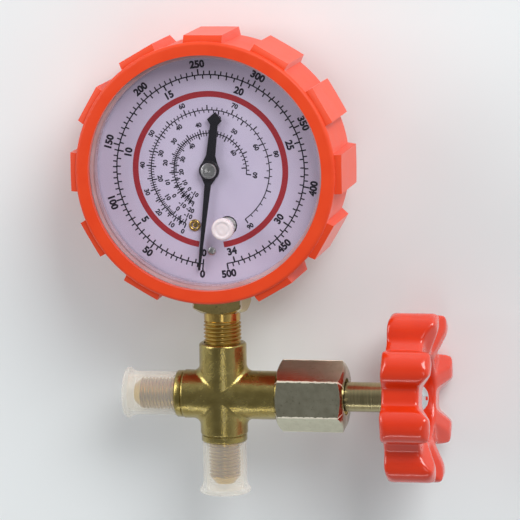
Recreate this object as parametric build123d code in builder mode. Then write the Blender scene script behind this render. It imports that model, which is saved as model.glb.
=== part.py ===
"""Refrigerant manifold gauge: a forged four-way brass body with one screw-down valve, two capped
flare ports, and a dial gauge in a rubber boot.

Millimetres. +Z runs up the gauge's neck, the dial faces -Y and the hand wheel lies towards +X. The
origin is on the bottom port's axis, at the outer end of its thread, where the flare nose begins.
"""

import os
from math import acos, atan2, cos, degrees, hypot, pi, radians, sin, sqrt, tan

from build123d import *

# Fits and play
running_gap = 0.05  # radial, on shafts and pivots that turn or slide
seat_gap = 0.04  # radial, on screwed and pressed-in pieces
free_gap = 0.3  # between pieces that move past each other and don't touch

# Flare ports: 7/16-20 UNF over the crests, as on a quarter-inch flare
port_thread_radius = 5.555
port_thread_length = 10.8
port_land_radius = 5.3
port_land_length = 1.8
port_nose_length = 2.5
port_nose_tip_radius = 3.3
port_nose_flare = 2.0  # the nose's widening, from its tip back to the thread
port_bore_radius = 2.4

# Forged body
shoulder_distance = 16.4  # from the valve's centre to each port's shoulder
arm_radius = 8.5
column_radius = 8.3
column_height = 18.6  # above the valve's centre
bonnet_arm_length = 19.4
forging_fillet = 2.4
turned_ring_length = 2.8
turned_ring_depth = 0.3
drill_cone = 0.4
rim_round = 1.1
valve_z = shoulder_distance + port_land_length + port_thread_length

# Valve chamber and seat
chamber_radius = 5.6
chamber_floor_x = -3.6
seat_lip_height = 1.3
seat_lip_width = 0.6
bonnet_thread_radius = 7.0
bonnet_bore_start_x = 6.5

# Bonnet
hex_across_flats = 22.0
hex_length = 23.8
hex_turn = 3.3  # how far the screwed-up hexagon stands from square, degrees
hex_chamfer_angle = 27.0
hex_chamfer_inset = 0.9
bonnet_seal_thickness = 0.4
bonnet_seal_inset = 0.4
spigot_length = 8.5
spigot_bore_length = 11.0  # internal thread, measured from the spigot's end
packing_radius = 6.5
packing_length = 5.4
gland_length = 2.4
gland_recess = 1.4
gland_lead = 0.5

# Stem
stem_radius = 5.2
stem_thread_radius = 5.9
stem_thread_length = 9.0
stem_thread_lead = 0.6
stem_root_radius = 4.2
stem_root_length = 3.2
stem_relief_length = 1.5
stem_relief_radius = 4.9
stem_spigot_radius = 2.0
stem_spigot_length = 3.6
wheel_square = 7.2
wheel_square_length = 6.2
stem_screw_radius = 2.0
stem_screw_depth = 9.0

# Poppet and its disc
poppet_radius = 4.0
poppet_length = 6.4
poppet_lip = 0.9
poppet_lead = 0.3
disc_thickness = 1.8
disc_proud = 0.3

# Hand wheel
wheel_back_x = 59.6
wheel_valley_width = 13.05
wheel_lobe_width = 17.3
wheel_lobe_reach = 31.1
wheel_lobe_radius = 6.4
wheel_valley_drop = 6.7  # from a lobe's tip in to the rim between two lobes
wheel_lobes = 8
wheel_turn = 11.6  # where the closed wheel comes to rest, degrees
wheel_dish_radius = 14.8
wheel_web = 7.6
wheel_trough_floor = 3.4  # half width of the flat between two lobes
wheel_valley_fillet = 2.4
wheel_nose_round = 3.0
wheel_shoulder_round = 4.0
wheel_shoulder_step = 1.0  # from the valley's rim out to the lobes' shoulder
wheel_core_inner = 9.0
wheel_core_outer = 18.5
wheel_core_depth = 3.6
wheel_screw_head_radius = 5.15
wheel_screw_head_height = 4.2
wheel_screw_rim = 0.8
wheel_screw_slot_width = 1.3
wheel_screw_slot_depth = 1.5
lock_washer_thickness = 0.9
lock_washer_inset = 0.6
lock_washer_slit = 0.8

# Port caps
cap_gap = 0.95  # radial, over the thread
cap_wall = 1.1
cap_floor = 1.4
cap_length = 18.2
cap_lip_length = 1.2
cap_flange_radius = 8.9
cap_flange_thickness = 2.0
cap_flare_length = 1.9
cap_flange_edge = 0.6
cap_stand_off = 0.2

# Gauge: depths are along Y, from the neck's axis, negative to the front
case_radius = 41.8
case_wall = 0.8
case_corner_round = 1.6
boot_wall = 3.4
boot_front_y = -25.9
boot_back_y = 9.5
boot_lip_inset = 1.2  # how far the front lip reaches in over the can
boot_lip_thickness = 2.7
boot_back_lip_thickness = 1.9
boot_back_lip_width = 7.8
boot_back_round = 3.2
boot_front_round = 1.2
boot_step = 0.5
boot_step_width = 2.0
lug_height = 2.0
lug_width = 13.4
lug_spacing = 30.0
lug_front_setback = 1.4
lug_back_taper = 4.0
lug_corner_drop = 0.6  # of a lug's front edge below its top
lens_thickness = 1.8
lens_front_setback = 1.0  # behind the case's rim
lens_skirt_wall = 1.4
lens_edge_round = 0.6
dial_face_y = -15.3
dial_thickness = 0.6
dial_edge_gap = 0.26

# Gauge socket
socket_square = 17.36
socket_square_bottom = 29.7  # above the valve's centre
socket_square_length = 9.4
socket_top_gap = 0.4  # between the square and the case
socket_cone_inset = 0.2
socket_cone_angle = 32.0
neck_radius = 6.58  # G 1/4 over the crests
neck_engagement = 9.4
neck_relief_length = 1.5
neck_lead = 0.6
neck_relief_radius = 5.8
block_width = 15.0
block_front_y = -6.0
block_top = -15.2  # from the dial's centre

# Bourdon tube
tube_mean_radius = 30.0
tube_width = 9.0
tube_thickness = 2.8
tube_wall = 0.45
tube_start_angle = -105.0
tube_sweep = 270.0
tube_root_turn = 8.0  # of the tube's end into the block
tube_slot_turn = 20.0
tip_wall = 0.4
tip_length = 3.0
tip_arm_half = 2.0
tip_arm_thickness = 2.2
tip_boss_radius = 1.9
tip_pin_inset = 2.6
tip_pin_rise = 1.5

# Movement
plate_thickness = 1.2
plate_spacing = 5.4
plate_rim = 3.4
gear_module = 0.4
pinion_teeth = 10
sector_teeth = 80  # on the whole circle that the sector is cut from
sector_cut_teeth = 12
sector_side = 215.0  # direction from the pinion to the sector's pivot, degrees
tooth_shift = 0.4
tooth_backlash = 0.07
gear_thickness = 1.4
arbor_radius = 1.0
pivot_radius = 0.75
sector_hub_radius = 2.3
tail_length = 5.5
sector_addendum = 0.2
sector_dedendum = 0.62
pinion_addendum = 0.52
pinion_dedendum = 0.3
sector_rim_depth = 0.7
sector_window_reach = 8.6
sector_window_radius = 2.5
sector_fan_margin = 2.0  # past the first and the last tooth, degrees
plate_play = 0.2
tail_direction = -111.6  # at rest, degrees
link_thickness = 0.8
link_pin_radius = 0.6
link_eye_radius = 1.6
link_bar_width = 1.4
link_slot_play = 0.6
link_slot_wall = 0.9
pin_proud = 0.5
hair_start_radius = 2.0
hair_pitch = 1.2
hair_half_turns = 6
hair_width = 0.22
hair_height = 0.5
hair_stand_off = 0.9
hair_stud_radius = 0.5
hair_stud_overlap = 0.2
pillar_radius = 1.5
plate_screw_radius = 1.9
plate_screw_head = 0.5
plate_screw_slot = 0.5
plate_screw_slot_depth = 0.3
pillar_wall = 0.4
pointer_sweep = 346.0

# Dial fastenings
screw_pair_spread = 5.77  # each side of the centre line
screw_pair_drop = 19.25
dial_screw_radius = 2.0
low_screw_drop = 28.2
low_screw_radius = 1.4
dial_screw_head = 0.5
dial_screw_engagement = 2.4
dial_screw_dimple = 0.3
adjuster_head_radius = 2.8
adjuster_face_y = -10.5
adjuster_shank_radius = 1.5
adjuster_window_radius = 3.3

# Pointer and plug
pointer_blade_thickness = 0.5
pointer_blade_y = -16.9
pointer_tip_gap = 4.1  # from the blade's tip out to the dial's edge
pointer_tip_half = 0.38
pointer_tip_slope = 0.4
pointer_tail_reach = 20.4
pointer_hub_radius = 3.5
pointer_head_length = 4.6
pointer_head_half = 2.6
pointer_blade_half = 1.1
pointer_tail_half = 1.6
pointer_neck_half = 1.3
pointer_waist = 1.6
pointer_hub_edge = 0.35
pointer_hub_overlap = 0.25
pointer_cap_radius = 2.75
pointer_rest_angle = 7.0  # clockwise from straight down
plug_shank_radius = 2.5
plug_head_radius = 4.1
plug_head_height = 3.4
plug_head_round = 0.9
plug_tail = 0.8
case_screw_radius = 2.6
case_screw_head_height = 1.5
case_screw_shank_radius = 1.4
case_screw_depth = 4.0
case_screw_edge = 0.5
case_screw_places = [(-4.5, -22.5), (4.5, -22.5)]
post_radius = 1.9
post_stud_radius = 1.2
post_stud_length = 2.6
post_hole_depth = 3.0
dial_hole_gap = 0.5
low_screw_shank_radius = 0.9
adjuster_head_height = 2.0
adjuster_slot = 0.9
pointer_arbor_y = -17.9
pointer_hub_front_y = -18.0
pointer_cap_height = 0.6
pointer_cap_edge = 0.25
pointer_cap_dimple = 0.8
lens_skirt_end_y = -16.0
boot_notch_y = -9.4
boot_notch_gap = 0.52
pillar_places = [(7.5, 3.6), (-21.6, -8.2)]

# Lengths that follow from the sizes above
wheel_valley_reach = wheel_lobe_reach - wheel_valley_drop
gauge_height = socket_square_bottom + socket_square_length + socket_top_gap + case_radius
gauge_z = valve_z + gauge_height
boot_radius = case_radius + boot_wall
boot_lip_radius = case_radius - boot_lip_inset
boot_back_opening = case_radius - boot_back_lip_width
boot_notch_half = socket_square / 2 + boot_notch_gap
lug_flat_distance = boot_radius + lug_height
port_reach = shoulder_distance + port_land_length + port_thread_length + port_nose_length
bonnet_inner_x = bonnet_arm_length + bonnet_seal_thickness
bonnet_outer_x = bonnet_inner_x + hex_length
spigot_end_x = bonnet_inner_x - spigot_length
seat_x = chamber_floor_x + seat_lip_height
poppet_back_x = seat_x + disc_proud + poppet_length
stem_shoulder_x = poppet_back_x + free_gap
stem_thread_x = stem_shoulder_x + stem_root_length
gland_outer_x = bonnet_outer_x - gland_recess
packing_inner_x = gland_outer_x - gland_length - packing_length
case_front_y = boot_front_y + boot_lip_thickness
case_back_y = boot_back_y - boot_back_lip_thickness
case_inner_radius = case_radius - case_wall
lens_front_y = case_front_y + lens_front_setback
lens_back_y = lens_front_y + lens_thickness
lens_radius = case_inner_radius - seat_gap
dial_radius = lens_radius - lens_skirt_wall - dial_edge_gap
pointer_tip_reach = dial_radius - pointer_tip_gap
dial_back_y = dial_face_y + dial_thickness
block_bottom = gauge_z - case_radius - socket_top_gap
back_plate_y = block_front_y - plate_thickness
front_plate_y = back_plate_y - plate_spacing - plate_thickness
gear_back_y = back_plate_y - (plate_spacing - gear_thickness) / 2
gear_front_y = gear_back_y - gear_thickness
link_back_y = gear_front_y - plate_play
pinion_pitch_radius = gear_module * pinion_teeth / 2
sector_pitch_radius = gear_module * sector_teeth / 2
sector_centre = (
    (pinion_pitch_radius + sector_pitch_radius) * cos(radians(sector_side)),
    (pinion_pitch_radius + sector_pitch_radius) * sin(radians(sector_side)),
)
tail_pin = (
    sector_centre[0] + tail_length * cos(radians(tail_direction)),
    sector_centre[1] + tail_length * sin(radians(tail_direction)),
)
tube_tip_angle = tube_start_angle - tube_sweep
tip_pin = (tube_mean_radius * cos(radians(tube_tip_angle)) - tip_pin_inset, tail_pin[1] + tip_pin_rise)

# Axes and planes
valve_axis = Axis((0, 0, valve_z), (1, 0, 0))
gauge_axis = Axis((0, 0, gauge_z), (0, 1, 0))
valve_plane = Plane(origin=(0, 0, valve_z), x_dir=(1, 0, 0), z_dir=(0, -1, 0))
depth_plane = Plane(origin=(0, 0, gauge_z), x_dir=(0, 1, 0), z_dir=(1, 0, 0))


def facing(y):
    """The plane at depth y that faces the dial's reader, centred on the dial."""
    return Plane(origin=(0, y, gauge_z), x_dir=(1, 0, 0), z_dir=(0, -1, 0))


def across(x):
    """The plane across the valve's axis at x: its own x runs back along +Y, its own y up."""
    return Plane(origin=(x, 0, valve_z), x_dir=(0, 1, 0), z_dir=(1, 0, 0))


def radial(angle):
    """The plane through the dial's axis at an angle up from +X: its own x is depth, its own y is radius."""
    turn = radians(angle)
    return Plane(origin=(0, 0, gauge_z), x_dir=(0, 1, 0), z_dir=(sin(turn), 0, -cos(turn)))


def outline(*points):
    """A closed polygon, placed as its points say, in the sketch that is being drawn."""
    return Polygon(*points, align=None)


def corner(sketch, x, y):
    """The corner of a sketch that lies nearest to x, y on its own plane."""
    return sketch.vertices().sort_by(lambda v: hypot(v.X - x, v.Y - y))[0]


def tooth_profile(teeth, shift, outward, inward, rotate_by=0.0):
    """One involute tooth, up the left flank and down the right, about the angle rotate_by in degrees."""
    pitch = gear_module * teeth / 2
    pressure = radians(20)
    base = pitch * cos(pressure)
    thickness = gear_module * (pi / 2 + 2 * shift * tan(pressure)) - tooth_backlash
    half = thickness / (2 * pitch) + tan(pressure) - pressure
    flank = []
    for share in (0.0, 0.25, 0.5, 0.75, 1.0):
        radius = inward + (outward - inward) * share
        roll = acos(min(1.0, base / max(radius, base)))
        flank.append((radius, half - (tan(roll) - roll)))
    turn = radians(rotate_by)
    left = [(r * cos(turn + a), r * sin(turn + a)) for r, a in flank]
    right = [(r * cos(turn - a), r * sin(turn - a)) for r, a in reversed(flank)]
    return left + right


os.makedirs("parts", exist_ok=True)

# ---------------------------------------------------------------- valve

# Forged body: two crossing cylinders with forging fillets, turned ends, the two flare ports and the bores
with BuildPart() as valve_body:
    with BuildSketch(across(-shoulder_distance)):
        Circle(arm_radius)
    extrude(amount=shoulder_distance + bonnet_arm_length)
    with BuildSketch(Plane.XY.offset(valve_z - shoulder_distance)):
        Circle(column_radius)
    extrude(amount=shoulder_distance + column_height)
    curved_edges = valve_body.edges().filter_by(GeomType.CIRCLE, reverse=True)
    fillet(curved_edges.filter_by(GeomType.LINE, reverse=True), forging_fillet)
    # The rim of the column is rounded, the free ends of the other arms are turned to a shallow ring
    fillet(valve_body.edges().filter_by(GeomType.CIRCLE).sort_by(Axis.Z)[-1], rim_round)
    with BuildSketch(valve_plane):
        with Locations((-shoulder_distance + turned_ring_length / 2, arm_radius)):
            Rectangle(turned_ring_length, 2 * turned_ring_depth)
    revolve(axis=valve_axis, mode=Mode.SUBTRACT)
    with BuildSketch(valve_plane):
        with Locations((column_radius, -shoulder_distance + turned_ring_length / 2)):
            Rectangle(2 * turned_ring_depth, turned_ring_length)
    revolve(axis=Axis.Z, mode=Mode.SUBTRACT)
    # Each port: land, threaded length and flare nose
    port_points = [
        (0, shoulder_distance - 1),
        (port_land_radius, shoulder_distance - 1),
        (port_land_radius, shoulder_distance + port_land_length),
        (port_thread_radius, shoulder_distance + port_land_length),
        (port_thread_radius, shoulder_distance + port_land_length + port_thread_length),
        (port_nose_tip_radius + port_nose_flare, port_reach - port_nose_length),
        (port_nose_tip_radius, port_reach),
        (0, port_reach),
    ]
    with BuildSketch(valve_plane):
        outline(*[(-along, radius) for radius, along in port_points])
    revolve(axis=valve_axis)
    with BuildSketch(valve_plane):
        outline(*[(radius, -along) for radius, along in port_points])
    revolve(axis=Axis.Z)
    # Chamber with its raised seat, the bonnet's thread and the bore of the left port
    with BuildSketch(valve_plane):
        outline(
            (-port_reach, 0),
            (-port_reach, port_bore_radius),
            (seat_x, port_bore_radius),
            (seat_x, port_bore_radius + seat_lip_width),
            (chamber_floor_x, port_bore_radius + seat_lip_width),
            (chamber_floor_x, chamber_radius),
            (bonnet_bore_start_x, chamber_radius),
            (bonnet_bore_start_x, bonnet_thread_radius),
            (bonnet_arm_length, bonnet_thread_radius),
            (bonnet_arm_length, 0),
        )
    revolve(axis=valve_axis, mode=Mode.SUBTRACT)
    # Bottom port's bore, the way up to the gauge and the gauge's thread
    with BuildSketch(valve_plane):
        outline(
            (0, -port_reach),
            (port_bore_radius, -port_reach),
            (port_bore_radius, -chamber_radius + drill_cone),
            (0, -chamber_radius + drill_cone),
        )
        outline(
            (0, chamber_radius - drill_cone),
            (port_bore_radius, chamber_radius - drill_cone),
            (port_bore_radius, column_height - neck_engagement - 2 * drill_cone),
            (neck_radius + seat_gap, column_height - neck_engagement - drill_cone),
            (neck_radius + seat_gap, column_height),
            (0, column_height),
        )
    revolve(axis=Axis.Z, mode=Mode.SUBTRACT)
valve_body.part.label = "valve_body"
export_step(valve_body.part, "parts/valve_body.step")

# Soft ring between the arm's end and the bonnet
with BuildPart() as bonnet_seal:
    with BuildSketch(across(bonnet_arm_length)):
        Circle(arm_radius - bonnet_seal_inset)
        Circle(bonnet_thread_radius + seat_gap, mode=Mode.SUBTRACT)
    extrude(amount=bonnet_seal_thickness)
bonnet_seal.part.label = "bonnet_seal"
export_step(bonnet_seal.part, "parts/bonnet_seal.step")

# Bonnet: hexagon with chamfered corners, the spigot that screws into the arm, and the stem's stepped bore
with BuildPart() as bonnet:
    with BuildSketch(across(bonnet_inner_x)):
        RegularPolygon(hex_across_flats / 2, 6, major_radius=False, rotation=30 - hex_turn)
    extrude(amount=hex_length)
    corner_radius = hex_across_flats / sqrt(3) + 0.1
    face_radius = hex_across_flats / 2 - hex_chamfer_inset
    chamfer_run = (corner_radius - face_radius) * tan(radians(hex_chamfer_angle))
    with BuildSketch(valve_plane):
        outline(
            (bonnet_inner_x, 0),
            (bonnet_inner_x, face_radius),
            (bonnet_inner_x + chamfer_run, corner_radius),
            (bonnet_outer_x - chamfer_run, corner_radius),
            (bonnet_outer_x, face_radius),
            (bonnet_outer_x, 0),
        )
    revolve(axis=valve_axis, mode=Mode.INTERSECT)
    with BuildSketch(across(spigot_end_x)):
        Circle(bonnet_thread_radius - seat_gap)
    extrude(amount=spigot_length + 1)
    with BuildSketch(valve_plane):
        outline(
            (spigot_end_x, 0),
            (spigot_end_x, stem_thread_radius + running_gap),
            (spigot_end_x + spigot_bore_length, stem_thread_radius + running_gap),
            (spigot_end_x + spigot_bore_length, stem_radius + running_gap),
            (packing_inner_x, stem_radius + running_gap),
            (packing_inner_x, packing_radius + seat_gap),
            (bonnet_outer_x, packing_radius + seat_gap),
            (bonnet_outer_x, 0),
        )
    revolve(axis=valve_axis, mode=Mode.SUBTRACT)
bonnet.part.label = "bonnet"
export_step(bonnet.part, "parts/bonnet.step")

# Packing: three rings side by side round the stem
with BuildPart() as stem_packing:
    for ring in range(3):
        with BuildSketch(across(packing_inner_x + ring * packing_length / 3)):
            Circle(packing_radius)
            Circle(stem_radius + running_gap, mode=Mode.SUBTRACT)
        extrude(amount=packing_length / 3 - seat_gap, mode=Mode.ADD)
stem_packing.part.label = "stem_packing"
export_step(stem_packing.part, "parts/stem_packing.step")

# Gland ring that holds the packing down in the bonnet's mouth
with BuildPart() as gland_ring:
    with BuildSketch(across(gland_outer_x - gland_length)):
        Circle(packing_radius)
        Circle(stem_radius + running_gap, mode=Mode.SUBTRACT)
    extrude(amount=gland_length)
    outer_edges = gland_ring.edges().filter_by(GeomType.CIRCLE).group_by(Axis.X)[-1]
    chamfer(outer_edges.sort_by(SortBy.RADIUS)[0], gland_lead)
gland_ring.part.label = "gland_ring"
export_step(gland_ring.part, "parts/gland_ring.step")

# Stem: spigot, root, thread, relief, shaft and the square for the wheel
with BuildPart() as stem:
    thread_end_x = stem_thread_x + stem_thread_length
    with BuildSketch(valve_plane):
        outline(
            (stem_shoulder_x - stem_spigot_length, 0),
            (stem_shoulder_x - stem_spigot_length, stem_spigot_radius),
            (stem_shoulder_x, stem_spigot_radius),
            (stem_shoulder_x, stem_root_radius),
            (stem_thread_x, stem_root_radius),
            (stem_thread_x, stem_thread_radius - stem_thread_lead),
            (stem_thread_x + stem_thread_lead, stem_thread_radius),
            (thread_end_x - stem_thread_lead, stem_thread_radius),
            (thread_end_x, stem_thread_radius - stem_thread_lead),
            (thread_end_x, stem_relief_radius),
            (thread_end_x + stem_relief_length, stem_relief_radius),
            (thread_end_x + stem_relief_length, stem_radius),
            (wheel_back_x, stem_radius),
            (wheel_back_x, 0),
        )
    revolve(axis=valve_axis)
    with BuildSketch(across(wheel_back_x)):
        Rectangle(wheel_square, wheel_square, rotation=-wheel_turn)
    extrude(amount=wheel_square_length)
    with BuildSketch(across(wheel_back_x + wheel_square_length)):
        Circle(stem_screw_radius)
    extrude(amount=-stem_screw_depth, mode=Mode.SUBTRACT)
stem.part.label = "stem"
export_step(stem.part, "parts/stem.step")

# Poppet that swivels on the stem's spigot and carries the disc
with BuildPart() as poppet:
    poppet_front_x = seat_x + disc_proud
    disc_radius = poppet_radius - poppet_lip
    spigot_floor_x = stem_shoulder_x - stem_spigot_length - free_gap
    with BuildSketch(valve_plane):
        outline(
            (seat_x + disc_thickness, 0),
            (seat_x + disc_thickness, disc_radius + seat_gap),
            (poppet_front_x, disc_radius + seat_gap),
            (poppet_front_x, poppet_radius - poppet_lead),
            (poppet_front_x + poppet_lead, poppet_radius),
            (poppet_back_x, poppet_radius),
            (poppet_back_x, stem_spigot_radius + running_gap),
            (spigot_floor_x, stem_spigot_radius + running_gap),
            (spigot_floor_x, 0),
        )
    revolve(axis=valve_axis)
poppet.part.label = "poppet"
export_step(poppet.part, "parts/poppet.step")

with BuildPart() as seat_disc:
    with BuildSketch(across(seat_x)):
        Circle(disc_radius)
    extrude(amount=disc_thickness)
seat_disc.part.label = "seat_disc"
export_step(seat_disc.part, "parts/seat_disc.step")

# Hand wheel: a lobed disc whose front sinks to a flat between each two lobes and rises to their noses
with BuildPart() as hand_wheel:
    wheel_web_x = wheel_back_x + wheel_web
    valley_x = wheel_back_x + wheel_valley_width
    nose_x = wheel_back_x + wheel_lobe_width
    lobe_centre = wheel_lobe_reach - wheel_lobe_radius
    lobe_step = 360 / wheel_lobes
    with BuildSketch(across(wheel_back_x)) as wheel_outline:
        Circle(wheel_valley_reach)
        with PolarLocations(lobe_centre, wheel_lobes, start_angle=lobe_step / 2 - wheel_turn):
            Circle(wheel_lobe_radius)
        fillet(wheel_outline.vertices(), wheel_valley_fillet)
    extrude(amount=wheel_lobe_width)
    # Noses and back rim rounded by one turned envelope, which also slopes the front up to the noses
    envelope_reach = wheel_lobe_reach + 0.01
    with BuildSketch(valve_plane) as envelope:
        Polygon(
            (wheel_back_x, 0),
            (wheel_back_x, envelope_reach),
            (nose_x, envelope_reach),
            (nose_x, wheel_valley_reach + wheel_shoulder_step),
            (valley_x, wheel_dish_radius),
            (valley_x, 0),
            align=None,
        )
        fillet(envelope.vertices().group_by(Axis.Y)[-1], wheel_nose_round)
        fillet(corner(envelope, nose_x, wheel_valley_reach + wheel_shoulder_step), wheel_shoulder_round)
    revolve(axis=valve_axis, mode=Mode.INTERSECT)
    # A trough along each valley, from the dish to the rim
    rise = nose_x - valley_x + 1
    for valley in range(wheel_lobes):
        turn = radians(valley * lobe_step - wheel_turn)
        along = (0, cos(turn), sin(turn))
        trough_plane = Plane(origin=(valley_x, 0, valve_z), x_dir=(1, 0, 0), z_dir=along)
        with BuildSketch(trough_plane) as trough:
            outline(
                (0, -wheel_trough_floor),
                (rise, -wheel_trough_floor - rise),
                (rise, wheel_trough_floor + rise),
                (0, wheel_trough_floor),
            )
        extrude(amount=wheel_lobe_reach + 1, mode=Mode.SUBTRACT)
    with BuildSketch(across(wheel_web_x)):
        Circle(wheel_dish_radius)
    extrude(amount=wheel_lobe_width, mode=Mode.SUBTRACT)
    # Cored back, square for the stem and the screw's hole
    with BuildSketch(across(wheel_back_x)):
        Circle(wheel_core_outer)
        Circle(wheel_core_inner, mode=Mode.SUBTRACT)
    extrude(amount=wheel_core_depth, mode=Mode.SUBTRACT)
    with BuildSketch(across(wheel_back_x)):
        Rectangle(wheel_square + 2 * seat_gap, wheel_square + 2 * seat_gap, rotation=-wheel_turn)
    extrude(amount=wheel_square_length + free_gap, mode=Mode.SUBTRACT)
    with BuildSketch(across(wheel_back_x)):
        Circle(stem_screw_radius + free_gap)
    extrude(amount=wheel_web, mode=Mode.SUBTRACT)
hand_wheel.part.label = "hand_wheel"
export_step(hand_wheel.part, "parts/hand_wheel.step")

# Spring washer under the wheel's screw
with BuildPart() as lock_washer:
    with BuildSketch(across(wheel_web_x)):
        Circle(wheel_screw_head_radius - lock_washer_inset)
        Circle(stem_screw_radius + free_gap, mode=Mode.SUBTRACT)
        with Locations((wheel_screw_head_radius, 0)):
            Rectangle(2 * wheel_screw_head_radius, lock_washer_slit, mode=Mode.SUBTRACT)
    extrude(amount=lock_washer_thickness)
lock_washer.part.label = "lock_washer"
export_step(lock_washer.part, "parts/lock_washer.step")

# Domed screw with one slot for a flat blade
with BuildPart() as wheel_screw:
    head_x = wheel_web_x + lock_washer_thickness
    dome_x = head_x + wheel_screw_head_height
    rim_x = head_x + wheel_screw_rim
    with BuildSketch(valve_plane):
        with BuildLine():
            Line((head_x, 0), (head_x, wheel_screw_head_radius))
            Line((head_x, wheel_screw_head_radius), (rim_x, wheel_screw_head_radius))
            ThreePointArc(
                (rim_x, wheel_screw_head_radius),
                (rim_x + (dome_x - rim_x) * 0.72, wheel_screw_head_radius * 0.66),
                (dome_x, 0),
            )
            Line((dome_x, 0), (head_x, 0))
        make_face()
    revolve(axis=valve_axis)
    with BuildSketch(across(dome_x)):
        Rectangle(2 * wheel_screw_head_radius + 1, wheel_screw_slot_width, rotation=-wheel_turn)
    extrude(amount=-wheel_screw_slot_depth, mode=Mode.SUBTRACT)
    with BuildSketch(across(head_x)):
        Circle(stem_screw_radius - seat_gap)
    extrude(amount=-(stem_screw_depth - 2 * free_gap + wheel_web - wheel_square_length))
wheel_screw.part.label = "wheel_screw"
export_step(wheel_screw.part, "parts/wheel_screw.step")

# Port caps: a thin cup over each thread, gripping by a lip at its mouth
cap_inner = port_thread_radius + cap_gap
cap_outer = cap_inner + cap_wall
cap_mouth = shoulder_distance + cap_stand_off
cap_end = cap_mouth + cap_length
for name, cap_axis, place in (
    ("left_cap", valve_axis, lambda along, radius: (-along, radius)),
    ("bottom_cap", Axis.Z, lambda along, radius: (radius, -along)),
):
    with BuildPart() as port_cap:
        with BuildSketch(valve_plane):
            outline(
                place(cap_mouth, 0),
                place(cap_mouth, cap_outer),
                place(cap_end - cap_flange_thickness - cap_flare_length, cap_outer),
                place(cap_end - cap_flange_thickness, cap_flange_radius - cap_flange_edge),
                place(cap_end - cap_flange_thickness + cap_flange_edge, cap_flange_radius),
                place(cap_end - cap_flange_edge, cap_flange_radius),
                place(cap_end, cap_flange_radius - cap_flange_edge),
                place(cap_end, 0),
            )
        revolve(axis=cap_axis)
        with BuildSketch(valve_plane):
            outline(
                place(cap_mouth, 0),
                place(cap_mouth, port_thread_radius + running_gap),
                place(cap_mouth + cap_lip_length, port_thread_radius + running_gap),
                place(cap_mouth + cap_lip_length, cap_inner),
                place(cap_end - cap_floor, cap_inner),
                place(cap_end - cap_floor, 0),
            )
        revolve(axis=cap_axis, mode=Mode.SUBTRACT)
    port_cap.part.label = name
    export_step(port_cap.part, f"parts/{name}.step")

# ---------------------------------------------------------------- gauge

# Socket: threaded neck, square with a turned lower edge, and the block inside the case with its drillings
with BuildPart() as gauge_socket:
    neck_bottom = valve_z + column_height - neck_engagement
    square_bottom = valve_z + socket_square_bottom
    with BuildSketch(valve_plane):
        outline(
            (0, neck_bottom - valve_z),
            (neck_radius - neck_lead, neck_bottom - valve_z),
            (neck_radius, neck_bottom - valve_z + neck_lead),
            (neck_radius, socket_square_bottom - neck_relief_length),
            (neck_relief_radius, socket_square_bottom - neck_relief_length),
            (neck_relief_radius, socket_square_bottom + 1),
            (0, socket_square_bottom + 1),
        )
    revolve(axis=Axis.Z)
    with BuildPart(mode=Mode.PRIVATE) as square:
        with BuildSketch(Plane.XY.offset(square_bottom)):
            Rectangle(socket_square, socket_square)
        extrude(amount=block_bottom - square_bottom)
        cone_radius = socket_square / 2 - socket_cone_inset
        cone_top = socket_square * 0.75
        cone_rise = (cone_top - cone_radius) * tan(radians(socket_cone_angle))
        with BuildSketch(valve_plane):
            outline(
                (0, socket_square_bottom),
                (cone_radius, socket_square_bottom),
                (cone_top, socket_square_bottom + cone_rise),
                (cone_top, block_bottom - valve_z),
                (0, block_bottom - valve_z),
            )
        revolve(axis=Axis.Z, mode=Mode.INTERSECT)
    add(square.part)
    block_back_y = case_back_y - case_wall
    with BuildSketch(Plane.XY.offset(block_bottom)):
        with Locations((0, (block_front_y + block_back_y) / 2)):
            Rectangle(block_width, block_back_y - block_front_y)
    extrude(amount=gauge_z + block_top - block_bottom)
    # Drilling up from the neck, and across into the slot that the tube is brazed in
    tube_centre_y = (block_front_y + block_back_y) / 2
    tube_root_angle = tube_start_angle + tube_root_turn
    with BuildSketch(Plane.XY.offset(neck_bottom)):
        Circle(port_bore_radius)
    extrude(amount=gauge_z - tube_mean_radius + 2 - neck_bottom, mode=Mode.SUBTRACT)
    with BuildSketch(radial(tube_root_angle)):
        with Locations((tube_centre_y, tube_mean_radius)):
            SlotOverall(tube_width + 2 * seat_gap, tube_thickness + 2 * seat_gap)
    revolve(axis=gauge_axis, revolution_arc=tube_slot_turn, mode=Mode.SUBTRACT)
    drilling_x = tube_mean_radius * cos(radians(tube_root_angle))
    drilling_z = gauge_z + tube_mean_radius * sin(radians(tube_root_angle))
    with BuildSketch(Plane(origin=(drilling_x, tube_centre_y, drilling_z), z_dir=(1, 0, 0))):
        Circle(tube_thickness / 2 - tube_wall)
    extrude(amount=-drilling_x, mode=Mode.SUBTRACT)
    # Tapped holes for the posts, the adjusting screw and the case screws
    with BuildSketch(facing(block_front_y)):
        with Locations((screw_pair_spread, -screw_pair_drop)):
            Circle(adjuster_shank_radius + running_gap)
        with Locations((-screw_pair_spread, -screw_pair_drop), (0, -low_screw_drop)):
            Circle(post_stud_radius + seat_gap)
    extrude(amount=-post_stud_length - free_gap, mode=Mode.SUBTRACT)
    with BuildSketch(facing(block_back_y)):
        with Locations(*case_screw_places):
            Circle(case_screw_shank_radius + seat_gap)
    extrude(amount=case_screw_depth + free_gap, mode=Mode.SUBTRACT)
gauge_socket.part.label = "gauge_socket"
export_step(gauge_socket.part, "parts/gauge_socket.step")

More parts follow.
